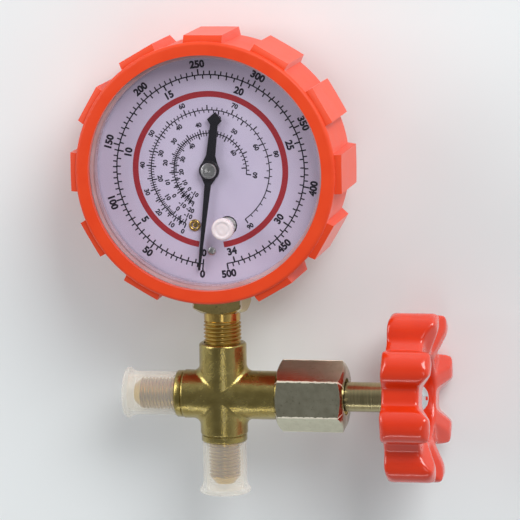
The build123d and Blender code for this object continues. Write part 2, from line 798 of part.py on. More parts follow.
# Bourdon tube: a flattened tube bent to three quarters of a circle
with BuildPart() as bourdon_tube:
    with BuildSketch(radial(tube_root_angle)):
        with Locations((tube_centre_y, tube_mean_radius)):
            SlotOverall(tube_width, tube_thickness)
            SlotOverall(tube_width - 2 * tube_wall, tube_thickness - 2 * tube_wall, mode=Mode.SUBTRACT)
    revolve(axis=gauge_axis, revolution_arc=tube_sweep + tube_root_turn)
bourdon_tube.part.label = "bourdon_tube"
export_step(bourdon_tube.part, "parts/bourdon_tube.step")

# Tip: the plug that closes the tube, with the arm that carries the link's pin
with BuildPart() as tube_tip:
    tip_turn = radians(tube_tip_angle)
    tip_at = (tube_mean_radius * cos(tip_turn), tube_mean_radius * sin(tip_turn))
    with BuildSketch(radial(tube_tip_angle)):
        with Locations((tube_centre_y, tube_mean_radius)):
            SlotOverall(tube_width + 2 * tip_wall, tube_thickness + 2 * tip_wall)
    extrude(amount=tip_length)
    arm_front_y = tube_centre_y - tube_width / 2 - tip_wall
    with BuildSketch(facing(arm_front_y)):
        with BuildLine():
            Polyline(
                (tip_pin[0] - tip_arm_half, tip_pin[1]),
                (tip_pin[0] - tip_arm_half, tip_pin[1] - tip_arm_half),
                (tip_pin[0] + tip_arm_half, tip_pin[1] - tip_arm_half),
                (tip_at[0] + 2 * tip_wall, tip_at[1] - tip_length + tip_wall),
                (tip_at[0] - tube_thickness / 2, tip_at[1] - tip_length / 2),
                close=True,
            )
        make_face()
    extrude(amount=-tip_arm_thickness)
    with BuildSketch(facing(arm_front_y)):
        with Locations(tip_pin):
            Circle(tip_boss_radius)
    extrude(amount=arm_front_y - gear_back_y)
    with BuildSketch(facing(gear_back_y)):
        with Locations(tip_pin):
            Circle(link_pin_radius)
    extrude(amount=gear_back_y - link_back_y + link_thickness + pin_proud)
tube_tip.part.label = "tube_tip"
export_step(tube_tip.part, "parts/tube_tip.step")

# Movement plates: the back one on the block, the front one on two pillars and the dial's post
for name, back_y, corners in (
    ("back_plate", block_front_y, [(screw_pair_spread, -screw_pair_drop)]),
    ("front_plate", front_plate_y + plate_thickness, []),
):
    with BuildPart() as movement_plate:
        with BuildSketch(facing(back_y)):
            with Locations((0, 0), (-screw_pair_spread, -screw_pair_drop), *corners, *pillar_places):
                Circle(plate_rim)
            make_hull()
            with Locations((0, 0), sector_centre):
                Circle(pivot_radius + running_gap, mode=Mode.SUBTRACT)
            with Locations(*corners):
                Circle(adjuster_shank_radius + free_gap, mode=Mode.SUBTRACT)
            with Locations((-screw_pair_spread, -screw_pair_drop), *pillar_places):
                Circle(post_stud_radius + seat_gap, mode=Mode.SUBTRACT)
        extrude(amount=plate_thickness)
    movement_plate.part.label = name
    export_step(movement_plate.part, f"parts/{name}.step")

# Pillars between the plates
with BuildPart() as plate_pillars:
    with BuildSketch(facing(back_plate_y)):
        with Locations(*pillar_places):
            Circle(pillar_radius)
            Circle(post_stud_radius - pillar_wall, mode=Mode.SUBTRACT)
    extrude(amount=plate_spacing)
plate_pillars.part.label = "plate_pillars"
export_step(plate_pillars.part, "parts/plate_pillars.step")

# Cheese-head screws that hold the front plate to the pillars
with BuildPart() as plate_screws:
    with BuildSketch(facing(front_plate_y)):
        with Locations(*pillar_places):
            Circle(plate_screw_radius)
    extrude(amount=plate_screw_head)
    with BuildSketch(facing(front_plate_y - plate_screw_head)):
        with Locations(*pillar_places):
            Rectangle(2 * plate_screw_radius + 1, plate_screw_slot)
    extrude(amount=-plate_screw_slot_depth, mode=Mode.SUBTRACT)
    with BuildSketch(facing(front_plate_y)):
        with Locations(*pillar_places):
            Circle(post_stud_radius - pillar_wall - seat_gap)
    extrude(amount=-plate_spacing)
plate_screws.part.label = "plate_screws"
export_step(plate_screws.part, "parts/plate_screws.step")

# Toothed sector: the rim turns the pinion, the tail carries the link's pin
with BuildPart() as sector_gear:
    tooth_step = 360 / sector_teeth
    pinion_side = sector_side - 180
    first_tooth = pinion_side - (sector_cut_teeth - 1.5) * tooth_step
    rim = []
    for tooth in range(sector_cut_teeth):
        rim += reversed(
            tooth_profile(
                sector_teeth,
                -tooth_shift,
                sector_pitch_radius + sector_addendum,
                sector_pitch_radius - sector_dedendum,
                first_tooth + tooth * tooth_step,
            )
        )
    fan_start = radians(first_tooth - sector_fan_margin)
    fan_end = radians(first_tooth + (sector_cut_teeth - 1) * tooth_step + sector_fan_margin)
    rim_radius = sector_pitch_radius - sector_rim_depth
    hub_spread = 0.6  # from the fan's sides to where they meet the hub, radians
    hub_start = fan_start - hub_spread
    hub_end = fan_end + hub_spread
    with BuildSketch(facing(gear_back_y)):
        with Locations(sector_centre):
            outline(
                (sector_hub_radius * cos(hub_start), sector_hub_radius * sin(hub_start)),
                (rim_radius * cos(fan_start), rim_radius * sin(fan_start)),
                *rim,
                (rim_radius * cos(fan_end), rim_radius * sin(fan_end)),
                (sector_hub_radius * cos(hub_end), sector_hub_radius * sin(hub_end)),
            )
            Circle(sector_hub_radius + 2 * free_gap)
        # Window in the web
        middle = (fan_start + fan_end) / 2
        window_x = sector_centre[0] + sector_window_reach * cos(middle)
        window_y = sector_centre[1] + sector_window_reach * sin(middle)
        with Locations((window_x, window_y)):
            Circle(sector_window_radius, mode=Mode.SUBTRACT)
        tail_middle = ((sector_centre[0] + tail_pin[0]) / 2, (sector_centre[1] + tail_pin[1]) / 2)
        with Locations(tail_middle):
            SlotCenterToCenter(tail_length, 2 * link_eye_radius, rotation=tail_direction)
    extrude(amount=gear_thickness)
    with BuildSketch(facing(back_plate_y - plate_play)):
        with Locations(sector_centre):
            Circle(arbor_radius)
    extrude(amount=plate_spacing - 2 * plate_play)
    with BuildSketch(facing(block_front_y - plate_play / 2)):
        with Locations(sector_centre):
            Circle(pivot_radius)
    extrude(amount=plate_spacing + 2 * plate_thickness)
    with BuildSketch(facing(gear_front_y)):
        with Locations(tail_pin):
            Circle(link_pin_radius)
    extrude(amount=gear_front_y - link_back_y + link_thickness + pin_proud)
sector_gear.part.label = "sector_gear"
export_step(sector_gear.part, "parts/sector_gear.step")

# Pinion and its arbor, which runs out through the dial to the pointer
with BuildPart() as pinion:
    leaves = []
    for tooth in range(pinion_teeth):
        leaves += reversed(
            tooth_profile(
                pinion_teeth,
                tooth_shift,
                pinion_pitch_radius + pinion_addendum,
                pinion_pitch_radius - pinion_dedendum,
                sector_side + tooth * 360 / pinion_teeth,
            )
        )
    with BuildSketch(facing(gear_back_y)):
        outline(*leaves)
    extrude(amount=gear_thickness)
    with BuildSketch(facing(back_plate_y - plate_play)):
        Circle(arbor_radius)
    extrude(amount=plate_spacing - 2 * plate_play)
    with BuildSketch(facing(gear_front_y)):
        Circle(hair_start_radius - free_gap - hair_width)
    extrude(amount=hair_stand_off + hair_height)
    with BuildSketch(facing(block_front_y - plate_play / 2)):
        Circle(pivot_radius)
    extrude(amount=block_front_y - plate_play / 2 - pointer_arbor_y)
pinion.part.label = "pinion"
export_step(pinion.part, "parts/pinion.step")

# Link from the sector's tail to the tube's tip: a round eye, a bar and a slotted end
with BuildPart() as link:
    slot_run = 2 * tail_length * sin(radians(pointer_sweep * pinion_teeth / sector_teeth / 2))
    slot_middle = (tip_pin[0] - slot_run / 2, tip_pin[1])
    bar_length = hypot(slot_middle[0] - tail_pin[0], slot_middle[1] - tail_pin[1])
    bar_angle = degrees(atan2(slot_middle[1] - tail_pin[1], slot_middle[0] - tail_pin[0]))
    with BuildSketch(facing(link_back_y)):
        with Locations(((tail_pin[0] + slot_middle[0]) / 2, (tail_pin[1] + slot_middle[1]) / 2)):
            Rectangle(bar_length, link_bar_width, rotation=bar_angle)
        with Locations(tail_pin):
            Circle(link_eye_radius)
            Circle(link_pin_radius + running_gap, mode=Mode.SUBTRACT)
        with Locations(slot_middle):
            slot_width = 2 * link_pin_radius + 2 * link_slot_play - plate_play
            SlotCenterToCenter(slot_run + link_slot_play, slot_width + 2 * link_slot_wall)
            SlotCenterToCenter(slot_run + link_slot_play, slot_width, mode=Mode.SUBTRACT)
    extrude(amount=link_thickness)
link.part.label = "link"
export_step(link.part, "parts/link.step")

# Hairspring: a flat spiral of half circles, its outer end pinned to a stud on the front plate
with BuildPart() as hairspring:
    hair_front_y = gear_front_y - hair_stand_off
    with BuildSketch(facing(hair_front_y)):
        with BuildLine() as spiral:
            start, radius = hair_start_radius, hair_start_radius
            for half in range(hair_half_turns):
                side = 1 if half % 2 == 0 else -1
                grown = radius + hair_pitch / 2
                middle = side * (radius - grown) / 2
                ThreePointArc(
                    (side * radius, 0),
                    (middle, side * (radius + grown) / 2),
                    (-side * grown, 0),
                )
                radius = grown
        trace(line_width=hair_width)
    extrude(amount=hair_height)
    with BuildSketch(facing(hair_front_y + hair_stud_overlap)):
        with Locations(((1 if hair_half_turns % 2 == 0 else -1) * radius, 0)):
            Circle(hair_stud_radius)
    extrude(amount=hair_front_y + hair_stud_overlap - front_plate_y - plate_thickness)
hairspring.part.label = "hairspring"
export_step(hairspring.part, "parts/hairspring.step")

# Posts that stand on the block and carry the dial
with BuildPart() as dial_posts:
    with BuildSketch(facing(front_plate_y)):
        with Locations((-screw_pair_spread, -screw_pair_drop)):
            Circle(post_radius)
    extrude(amount=front_plate_y - dial_back_y)
    with BuildSketch(facing(back_plate_y)):
        with Locations((-screw_pair_spread, -screw_pair_drop)):
            Circle(post_radius)
    extrude(amount=plate_spacing)
    with BuildSketch(facing(block_front_y)):
        with Locations((0, -low_screw_drop)):
            Circle(post_radius)
    extrude(amount=block_front_y - dial_back_y)
    with BuildSketch(facing(block_front_y + post_stud_length)):
        with Locations((-screw_pair_spread, -screw_pair_drop), (0, -low_screw_drop)):
            Circle(post_stud_radius)
    extrude(amount=post_stud_length + block_front_y - dial_back_y)
    with BuildSketch(facing(dial_back_y)):
        with Locations((-screw_pair_spread, -screw_pair_drop), (0, -low_screw_drop)):
            Circle(low_screw_shank_radius + seat_gap)
    extrude(amount=-post_hole_depth, mode=Mode.SUBTRACT)
dial_posts.part.label = "dial_posts"
export_step(dial_posts.part, "parts/dial_posts.step")

# Adjusting screw beside the post, reached through the window in the dial
with BuildPart() as adjuster_screw:
    with BuildSketch(facing(adjuster_face_y + adjuster_head_height)):
        with Locations((screw_pair_spread, -screw_pair_drop)):
            Circle(adjuster_head_radius)
    extrude(amount=adjuster_head_height)
    with BuildSketch(facing(adjuster_face_y)):
        with Locations((screw_pair_spread, -screw_pair_drop)):
            Rectangle(2 * adjuster_head_radius + 1, adjuster_slot)
    extrude(amount=-adjuster_slot, mode=Mode.SUBTRACT)
    with BuildSketch(facing(adjuster_face_y + adjuster_head_height)):
        with Locations((screw_pair_spread, -screw_pair_drop)):
            Circle(adjuster_shank_radius)
    extrude(amount=-(block_front_y + post_stud_length - adjuster_face_y - adjuster_head_height))
adjuster_screw.part.label = "adjuster_screw"
export_step(adjuster_screw.part, "parts/adjuster_screw.step")

# Dial plate
with BuildPart() as dial:
    with BuildSketch(facing(dial_back_y)):
        Circle(dial_radius)
        Circle(arbor_radius + dial_hole_gap, mode=Mode.SUBTRACT)
        with Locations((screw_pair_spread, -screw_pair_drop)):
            Circle(adjuster_window_radius, mode=Mode.SUBTRACT)
        with Locations((-screw_pair_spread, -screw_pair_drop), (0, -low_screw_drop)):
            Circle(low_screw_shank_radius + seat_gap, mode=Mode.SUBTRACT)
    extrude(amount=dial_thickness)
dial.part.label = "dial"
export_step(dial.part, "parts/dial.step")

# Screws through the dial: a hollow brass one into the plates' post and a steel one below it
for name, place, head in (
    ("dial_screw", (-screw_pair_spread, -screw_pair_drop), dial_screw_radius),
    ("dial_pin", (0, -low_screw_drop), low_screw_radius),
):
    with BuildPart() as dial_fastener:
        with BuildSketch(facing(dial_face_y)):
            with Locations(place):
                Circle(head)
        extrude(amount=dial_screw_head)
        with BuildSketch(facing(dial_face_y)):
            with Locations(place):
                Circle(low_screw_shank_radius)
        extrude(amount=-dial_thickness - dial_screw_engagement)
        with BuildSketch(facing(dial_face_y - dial_screw_head)):
            with Locations(place):
                Circle(low_screw_shank_radius * 0.7)
        extrude(amount=-dial_screw_dimple, mode=Mode.SUBTRACT)
    dial_fastener.part.label = name
    export_step(dial_fastener.part, f"parts/{name}.step")

# Pointer: tapered blade, hub, and a spade-shaped tail
with BuildPart() as pointer:
    blade_back_y = pointer_blade_y + pointer_blade_thickness / 2
    waist_x = pointer_hub_radius + pointer_waist
    shoulder_x = pointer_hub_radius * 0.6
    shoulder_half = pointer_hub_radius * 0.8
    neck_x = pointer_tail_reach - pointer_head_length
    barb_x = pointer_tail_reach - pointer_head_length * 0.62
    with BuildSketch(facing(blade_back_y)) as blade:
        with Locations(Rotation(0, 0, -90 - pointer_rest_angle)):
            outline(
                (pointer_tip_reach, 0),
                (pointer_tip_reach - pointer_tip_slope, pointer_tip_half),
                (waist_x, pointer_blade_half),
                (shoulder_x, shoulder_half),
                (-shoulder_x, shoulder_half),
                (-waist_x, pointer_tail_half),
                (-neck_x, pointer_neck_half),
                (-barb_x, pointer_head_half),
                (-pointer_tail_reach, 0),
                (-barb_x, -pointer_head_half),
                (-neck_x, -pointer_neck_half),
                (-waist_x, -pointer_tail_half),
                (-shoulder_x, -shoulder_half),
                (shoulder_x, -shoulder_half),
                (waist_x, -pointer_blade_half),
                (pointer_tip_reach - pointer_tip_slope, -pointer_tip_half),
            )
    extrude(amount=pointer_blade_thickness)
    hub_back_y = blade_back_y + pointer_hub_overlap
    with BuildSketch(facing(hub_back_y)):
        Circle(pointer_hub_radius)
    extrude(amount=hub_back_y - pointer_hub_front_y)
    chamfer(pointer.edges().filter_by(GeomType.CIRCLE).group_by(Axis.Y)[0], pointer_hub_edge)
    with BuildSketch(facing(hub_back_y)):
        Circle(pivot_radius + seat_gap)
    extrude(amount=hub_back_y - pointer_hub_front_y, mode=Mode.SUBTRACT)
pointer.part.label = "pointer"
export_step(pointer.part, "parts/pointer.step")

with BuildPart() as pointer_cap:
    with BuildSketch(facing(pointer_hub_front_y)):
        Circle(pointer_cap_radius)
    extrude(amount=pointer_cap_height)
    chamfer(pointer_cap.edges().filter_by(GeomType.CIRCLE).group_by(Axis.Y)[0], pointer_cap_edge)
    with BuildSketch(facing(pointer_hub_front_y - pointer_cap_height)):
        Circle(pointer_cap_dimple)
    extrude(amount=-pointer_cap_edge, mode=Mode.SUBTRACT)
pointer_cap.part.label = "pointer_cap"
export_step(pointer_cap.part, "parts/pointer_cap.step")

# Case: a drawn steel can, notched at the bottom where the socket's block enters
with BuildPart() as case:
    with BuildSketch(depth_plane) as can_section:
        outline(
            (case_front_y, case_inner_radius),
            (case_front_y, case_radius),
            (case_back_y, case_radius),
            (case_back_y, 0),
            (case_back_y - case_wall, 0),
            (case_back_y - case_wall, case_inner_radius),
        )
        fillet(corner(can_section, case_back_y, case_radius), case_corner_round)
        inner_corner = corner(can_section, case_back_y - case_wall, case_inner_radius)
        fillet(inner_corner, case_corner_round - case_wall)
    revolve(axis=gauge_axis)
    with BuildSketch(Plane.XY.offset(block_bottom)):
        with Locations((0, (block_front_y + block_back_y) / 2)):
            Rectangle(block_width + 2 * free_gap, block_back_y - block_front_y + 2 * free_gap)
    extrude(amount=case_radius - case_inner_radius + tube_width / 2, mode=Mode.SUBTRACT)
    with BuildSketch(facing(case_back_y - case_wall)):
        with Locations(*case_screw_places):
            Circle(case_screw_shank_radius + free_gap)
    extrude(amount=-2 * case_wall, mode=Mode.SUBTRACT)
case.part.label = "case"
export_step(case.part, "parts/case.step")

# Pan-head screws from the case's back into the block
with BuildPart() as case_screws:
    with BuildSketch(facing(case_back_y + case_screw_head_height)):
        with Locations(*case_screw_places):
            Circle(case_screw_radius)
    extrude(amount=case_screw_head_height)
    chamfer(case_screws.edges().filter_by(GeomType.CIRCLE).group_by(Axis.Y)[-1], case_screw_edge)
    with BuildSketch(facing(case_back_y)):
        with Locations(*case_screw_places):
            Circle(case_screw_shank_radius)
    extrude(amount=case_wall + case_screw_depth)
case_screws.part.label = "case_screws"
export_step(case_screws.part, "parts/case_screws.step")

# Lens: flat window with a skirt that snaps into the can
with BuildPart() as lens:
    with BuildSketch(depth_plane) as lens_section:
        outline(
            (lens_front_y, 0),
            (lens_front_y, lens_radius),
            (lens_skirt_end_y, lens_radius),
            (lens_skirt_end_y, lens_radius - lens_skirt_wall),
            (lens_back_y, lens_radius - lens_skirt_wall),
            (lens_back_y, 0),
        )
        fillet(corner(lens_section, lens_front_y, lens_radius), lens_edge_round)
    revolve(axis=gauge_axis)
    with BuildSketch(facing(lens_back_y)):
        with Locations((screw_pair_spread, -screw_pair_drop)):
            Circle(plug_shank_radius + running_gap)
    extrude(amount=lens_thickness, mode=Mode.SUBTRACT)
lens.part.label = "lens"
export_step(lens.part, "parts/lens.step")

# Plug for the hole in the lens
with BuildPart() as lens_plug:
    with BuildSketch(facing(lens_front_y)):
        with Locations((screw_pair_spread, -screw_pair_drop)):
            Circle(plug_head_radius)
    extrude(amount=plug_head_height)
    fillet(lens_plug.edges().filter_by(GeomType.CIRCLE).group_by(Axis.Y)[0], plug_head_round)
    with BuildSketch(facing(lens_front_y)):
        with Locations((screw_pair_spread, -screw_pair_drop)):
            Circle(plug_shank_radius)
    extrude(amount=-lens_thickness - plug_tail)
lens_plug.part.label = "lens_plug"
export_step(lens_plug.part, "parts/lens_plug.step")

# Boot: a rubber sleeve with a lip at each end and gripping lugs round it, notched for the socket
with BuildPart() as boot:
    lug_front_y = boot_front_y + lug_front_setback
    with BuildSketch(facing(lug_front_y)):
        for lug in range(1, 12):
            turn = -90 + lug * lug_spacing
            with Locations(Rotation(0, 0, turn)):
                with Locations(((lug_flat_distance + boot_lip_radius) / 2, 0)):
                    Rectangle(lug_flat_distance - boot_lip_radius, lug_width)
    extrude(amount=-(boot_back_y - lug_front_y))
    lug_corner = hypot(lug_flat_distance, lug_width / 2) + seat_gap
    lug_lead_y = lug_front_y + 2 * lug_corner_drop
    with BuildSketch(depth_plane):
        outline(
            (lug_front_y, 0),
            (lug_front_y, boot_radius + lug_corner_drop),
            (lug_lead_y, lug_corner),
            (boot_back_y - lug_back_taper, lug_corner),
            (boot_back_y, lug_corner - lug_back_taper),
            (boot_back_y, 0),
        )
    revolve(axis=gauge_axis, mode=Mode.INTERSECT)
    with BuildSketch(depth_plane) as sleeve:
        outline(
            (boot_front_y, 0),
            (boot_front_y, boot_radius),
            (boot_front_y + boot_step_width, boot_radius),
            (boot_front_y + boot_step_width, boot_radius - boot_step),
            (boot_back_y, boot_radius - boot_step),
            (boot_back_y, 0),
        )
        fillet(corner(sleeve, boot_back_y, boot_radius - boot_step), boot_back_round)
        fillet(corner(sleeve, boot_front_y, boot_radius), boot_front_round)
    revolve(axis=gauge_axis)
    with BuildSketch(depth_plane) as hollow:
        outline(
            (boot_front_y - 1, 0),
            (boot_front_y - 1, boot_lip_radius),
            (case_front_y - seat_gap, boot_lip_radius),
            (case_front_y - seat_gap, case_radius + seat_gap),
            (case_back_y + seat_gap, case_radius + seat_gap),
            (case_back_y + seat_gap, boot_back_opening),
            (boot_back_y + 1, boot_back_opening),
            (boot_back_y + 1, 0),
        )
    revolve(axis=gauge_axis, mode=Mode.SUBTRACT)
    with BuildSketch(facing(boot_notch_y)):
        with Locations((0, -boot_radius)):
            Rectangle(2 * boot_notch_half, 2 * (boot_radius - boot_back_opening + 2))
    extrude(amount=-(boot_back_y + 1 - boot_notch_y), mode=Mode.SUBTRACT)
boot.part.label = "boot"
export_step(boot.part, "parts/boot.step")
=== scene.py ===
"""Looks of a refrigerant manifold gauge: a forged brass cross with a screw-down valve and two capped flare
ports, and a dial gauge in a rubber boot above it. The scene is in metres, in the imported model's frame, and
the sizes written here are in millimetres."""
import math

import bmesh
import bpy
from mathutils import Matrix, Vector


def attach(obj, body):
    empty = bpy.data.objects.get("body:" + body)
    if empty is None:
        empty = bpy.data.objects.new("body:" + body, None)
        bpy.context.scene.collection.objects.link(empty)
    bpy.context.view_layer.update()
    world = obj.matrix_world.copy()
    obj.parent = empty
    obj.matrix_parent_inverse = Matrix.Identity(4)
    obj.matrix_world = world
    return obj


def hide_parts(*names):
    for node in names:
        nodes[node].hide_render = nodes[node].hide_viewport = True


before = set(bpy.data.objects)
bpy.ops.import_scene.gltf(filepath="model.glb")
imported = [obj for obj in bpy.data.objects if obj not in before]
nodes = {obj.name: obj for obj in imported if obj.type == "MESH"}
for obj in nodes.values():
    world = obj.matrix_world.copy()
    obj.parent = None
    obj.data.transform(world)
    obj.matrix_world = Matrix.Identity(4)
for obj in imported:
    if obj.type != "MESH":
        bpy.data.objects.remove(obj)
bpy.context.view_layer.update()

# ---------------------------------------------------------------- sizes the pieces share, in millimetres

MM = 0.001
VALVE_Z = 29.0
GAUGE_Z = 110.3
DIAL_FACE_Y = -15.3
POINTER_FACE_Y = -18.0
LENS_FRONT_Y = -22.2
LENS_SKIRT_FROM, LENS_SKIRT_TO = 39.1, 39.6  # the radii over which the window turns to frosted skirt
LEFT_ARM, BOTTOM_ARM = 8.5, 8.3  # radii
TURNED_FROM = 13.4  # this and the next four are distances from the valve's centre
PORT_SHOULDER = 16.4
THREAD_START = 18.2
THREAD_END = 29.0
PORT_REACH = 31.5
PORT_PITCH = 1.27  # 7/16-20
PORT_CREST = 5.555
PORT_ROOT = 4.78
BORE = 2.4  # a radius, as the crests and roots are
NECK_PITCH = 1.337  # G 1/4
NECK_CREST = 6.58
NECK_ROOT = 5.9
NECK_BASE = VALVE_Z + 9.4
NECK_TOP = VALVE_Z + 29.7
THREAD_TOP = NECK_TOP - 3.9
SCREW_PAIR = 5.77  # the eyelet and the adjusting screw, each side of the middle
SCREW_DROP = 19.25
PIN_DROP = 28.2
HEAD_START = -9.3  # where the adjusting screw's head begins in Y
HEAD_FORWARD = 4.6  # and how far it comes forward
INK = 0.024  # the print's thickness
DIGIT_SHARE = 0.69  # a digit's height as a share of the letters' size
SCALE_RADIUS = 32.85
PSI_PER_BAR = 14.504
# The angles of each 50 psi, in degrees clockwise from straight down
PRESSURE_MARKS = (5.4, 38.3, 71.5, 104.8, 139.3, 173.8, 208.0, 243.5, 279.7, 315.8, 350.7)
TO_FRONT = Matrix.Rotation(math.radians(90), 4, "X")  # a drawing in x, y turned to face -Y
DIAL_PLANE = Matrix.Translation((0, DIAL_FACE_Y, GAUGE_Z)) @ TO_FRONT


# ---------------------------------------------------------------- small tools


def hexed(value):
    """An sRGB hex colour as linear numbers, with full opacity."""
    parts = [int(value[at:at + 2], 16) / 255 for at in (1, 3, 5)]
    return tuple(c / 12.92 if c <= 0.04045 else ((c + 0.055) / 1.055) ** 2.4 for c in parts) + (1.0,)


def per_mm(size):
    """The scale that gives a pattern features of a size in millimetres."""
    return 1 / (size * MM)


def add(owner, kind, sockets=None, **settings):
    """A node in a finish or the room, with its settings; a socket is given a value or another's output."""
    tree = owner.node_tree
    made = tree.nodes.new(kind)
    for name, value in settings.items():
        setattr(made, name, value)
    for name, value in (sockets or {}).items():
        if isinstance(value, bpy.types.NodeSocket):
            tree.links.new(value, made.inputs[name])
        else:
            made.inputs[name].default_value = value
    return made


def new_finish(name):
    """An empty finish, with object coordinates ready in metres."""
    finish = bpy.data.materials.new(name)
    finish.use_nodes = True
    finish.node_tree.nodes.clear()
    where = add(finish, "ShaderNodeTexCoord").outputs["Object"]
    return finish, where


def shape_to_piece(name, shape, finish, body, stands_for=(), sharp=35.0, rounding=0.0):
    """A finished piece from a bmesh in millimetres: doubles merged, normals out, smooth up to an angle.
    Of several finishes, each face takes the one of its own number."""
    bmesh.ops.remove_doubles(shape, verts=shape.verts, dist=1e-4)
    bmesh.ops.scale(shape, vec=(MM, MM, MM), verts=shape.verts)
    bmesh.ops.recalc_face_normals(shape, faces=shape.faces)
    for face in shape.faces:
        face.smooth = True
    for edge in shape.edges:
        edge.smooth = not edge.is_manifold or edge.calc_face_angle(0.0) < math.radians(sharp)
    mesh = bpy.data.meshes.new(name)
    shape.to_mesh(mesh)
    shape.free()
    piece = bpy.data.objects.new(name, mesh)
    bpy.context.scene.collection.objects.link(piece)
    for laid in finish if isinstance(finish, tuple) else (finish,):
        mesh.materials.append(laid)
    if rounding:
        edge_round = piece.modifiers.new("edge_round", "BEVEL")
        edge_round.width = rounding * MM
        edge_round.segments = 3
        edge_round.limit_method = "ANGLE"
        edge_round.angle_limit = math.radians(sharp)
        edge_round.harden_normals = True
    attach(piece, body)
    if stands_for:
        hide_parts(*stands_for)
    return piece


def copy_of(node):
    """A merged copy of a CAD node's mesh, in millimetres, with flat faces made whole again."""
    shape = bmesh.new()
    shape.from_mesh(nodes[node].data)
    bmesh.ops.scale(shape, vec=(1 / MM, 1 / MM, 1 / MM), verts=shape.verts)
    bmesh.ops.remove_doubles(shape, verts=shape.verts, dist=1e-3)
    bmesh.ops.dissolve_limit(shape, angle_limit=math.radians(0.4), verts=shape.verts, edges=shape.edges)
    return shape


def turned(profile, at, along, steps=96):
    """A turned shape: the profile's points are (distance along the axis, radius)."""
    along = Vector(along)
    out = along.orthogonal().normalized()
    shape = bmesh.new()
    corners = [shape.verts.new(Vector(at) + along * a + out * r) for a, r in profile]
    edges = [shape.edges.new(pair) for pair in zip(corners, corners[1:])]
    bmesh.ops.spin(
        shape, geom=corners + edges, cent=at, axis=along, angle=math.tau, steps=steps, use_merge=True)
    bmesh.ops.remove_doubles(shape, verts=shape.verts, dist=1e-4)
    return shape


def join(shape, other):
    """Adds one bmesh to another."""
    carried = bpy.data.meshes.new("carried")
    other.to_mesh(carried)
    other.free()
    shape.from_mesh(carried)
    bpy.data.meshes.remove(carried)
    return shape


def cut_away(shape, at, normal):
    """Cuts off what lies on the normal's side of a plane, and closes the cut."""
    geom = shape.verts[:] + shape.edges[:] + shape.faces[:]
    bmesh.ops.bisect_plane(shape, geom=geom, dist=1e-4, plane_co=at, plane_no=normal, clear_outer=True)
    bmesh.ops.holes_fill(shape, edges=[edge for edge in shape.edges if edge.is_boundary])


def screw_thread(at, along, start, end, pitch, crest, root, steps=48):
    """A helical thread between two places along an axis, cut square and closed; its roots take finish 1,
    which paints shade into the grooves.
    """
    along = Vector(along)
    out = along.orthogonal().normalized()
    first = start - 1.5 * pitch
    shape = bmesh.new()
    middle = root + 0.45 * (crest - root)
    section = [
        (0.0, root), (0.12, root), (0.26, middle), (0.44, crest), (0.56, crest), (0.74, middle), (0.88, root),
        (1.0, root)]
    corners = [shape.verts.new(Vector(at) + along * (first + a * pitch) + out * r) for a, r in section]
    edges = [shape.edges.new(pair) for pair in zip(corners, corners[1:])]
    turns = math.ceil((end - start) / pitch) + 2
    bmesh.ops.spin(
        shape, geom=corners + edges, cent=at, axis=along, angle=math.tau * turns, steps=steps * turns,
        dvec=along * (pitch / steps))
    bmesh.ops.remove_doubles(shape, verts=shape.verts, dist=1e-3)
    # Faces in the roots take finish 1, a darker, browner brass that paints shade into the grooves
    for face in shape.faces:
        reach = (face.calc_center_median() - Vector(at)).cross(along).length
        face.material_index = int(reach < middle - 0.02)
    cut_away(shape, Vector(at) + along * end, along)
    cut_away(shape, Vector(at) + along * start, -along)
    return shape


def spread(mesh):
    """A wheel's two ends along the stem, and how far it reaches from the stem's axis, in metres."""
    along = [corner.co.x for corner in mesh.vertices]
    reach = [math.hypot(corner.co.y, corner.co.z - VALVE_Z * MM) for corner in mesh.vertices]
    return min(along), max(along), max(reach)


# ---------------------------------------------------------------- finishes

METAL = {"Metallic": 1.0}

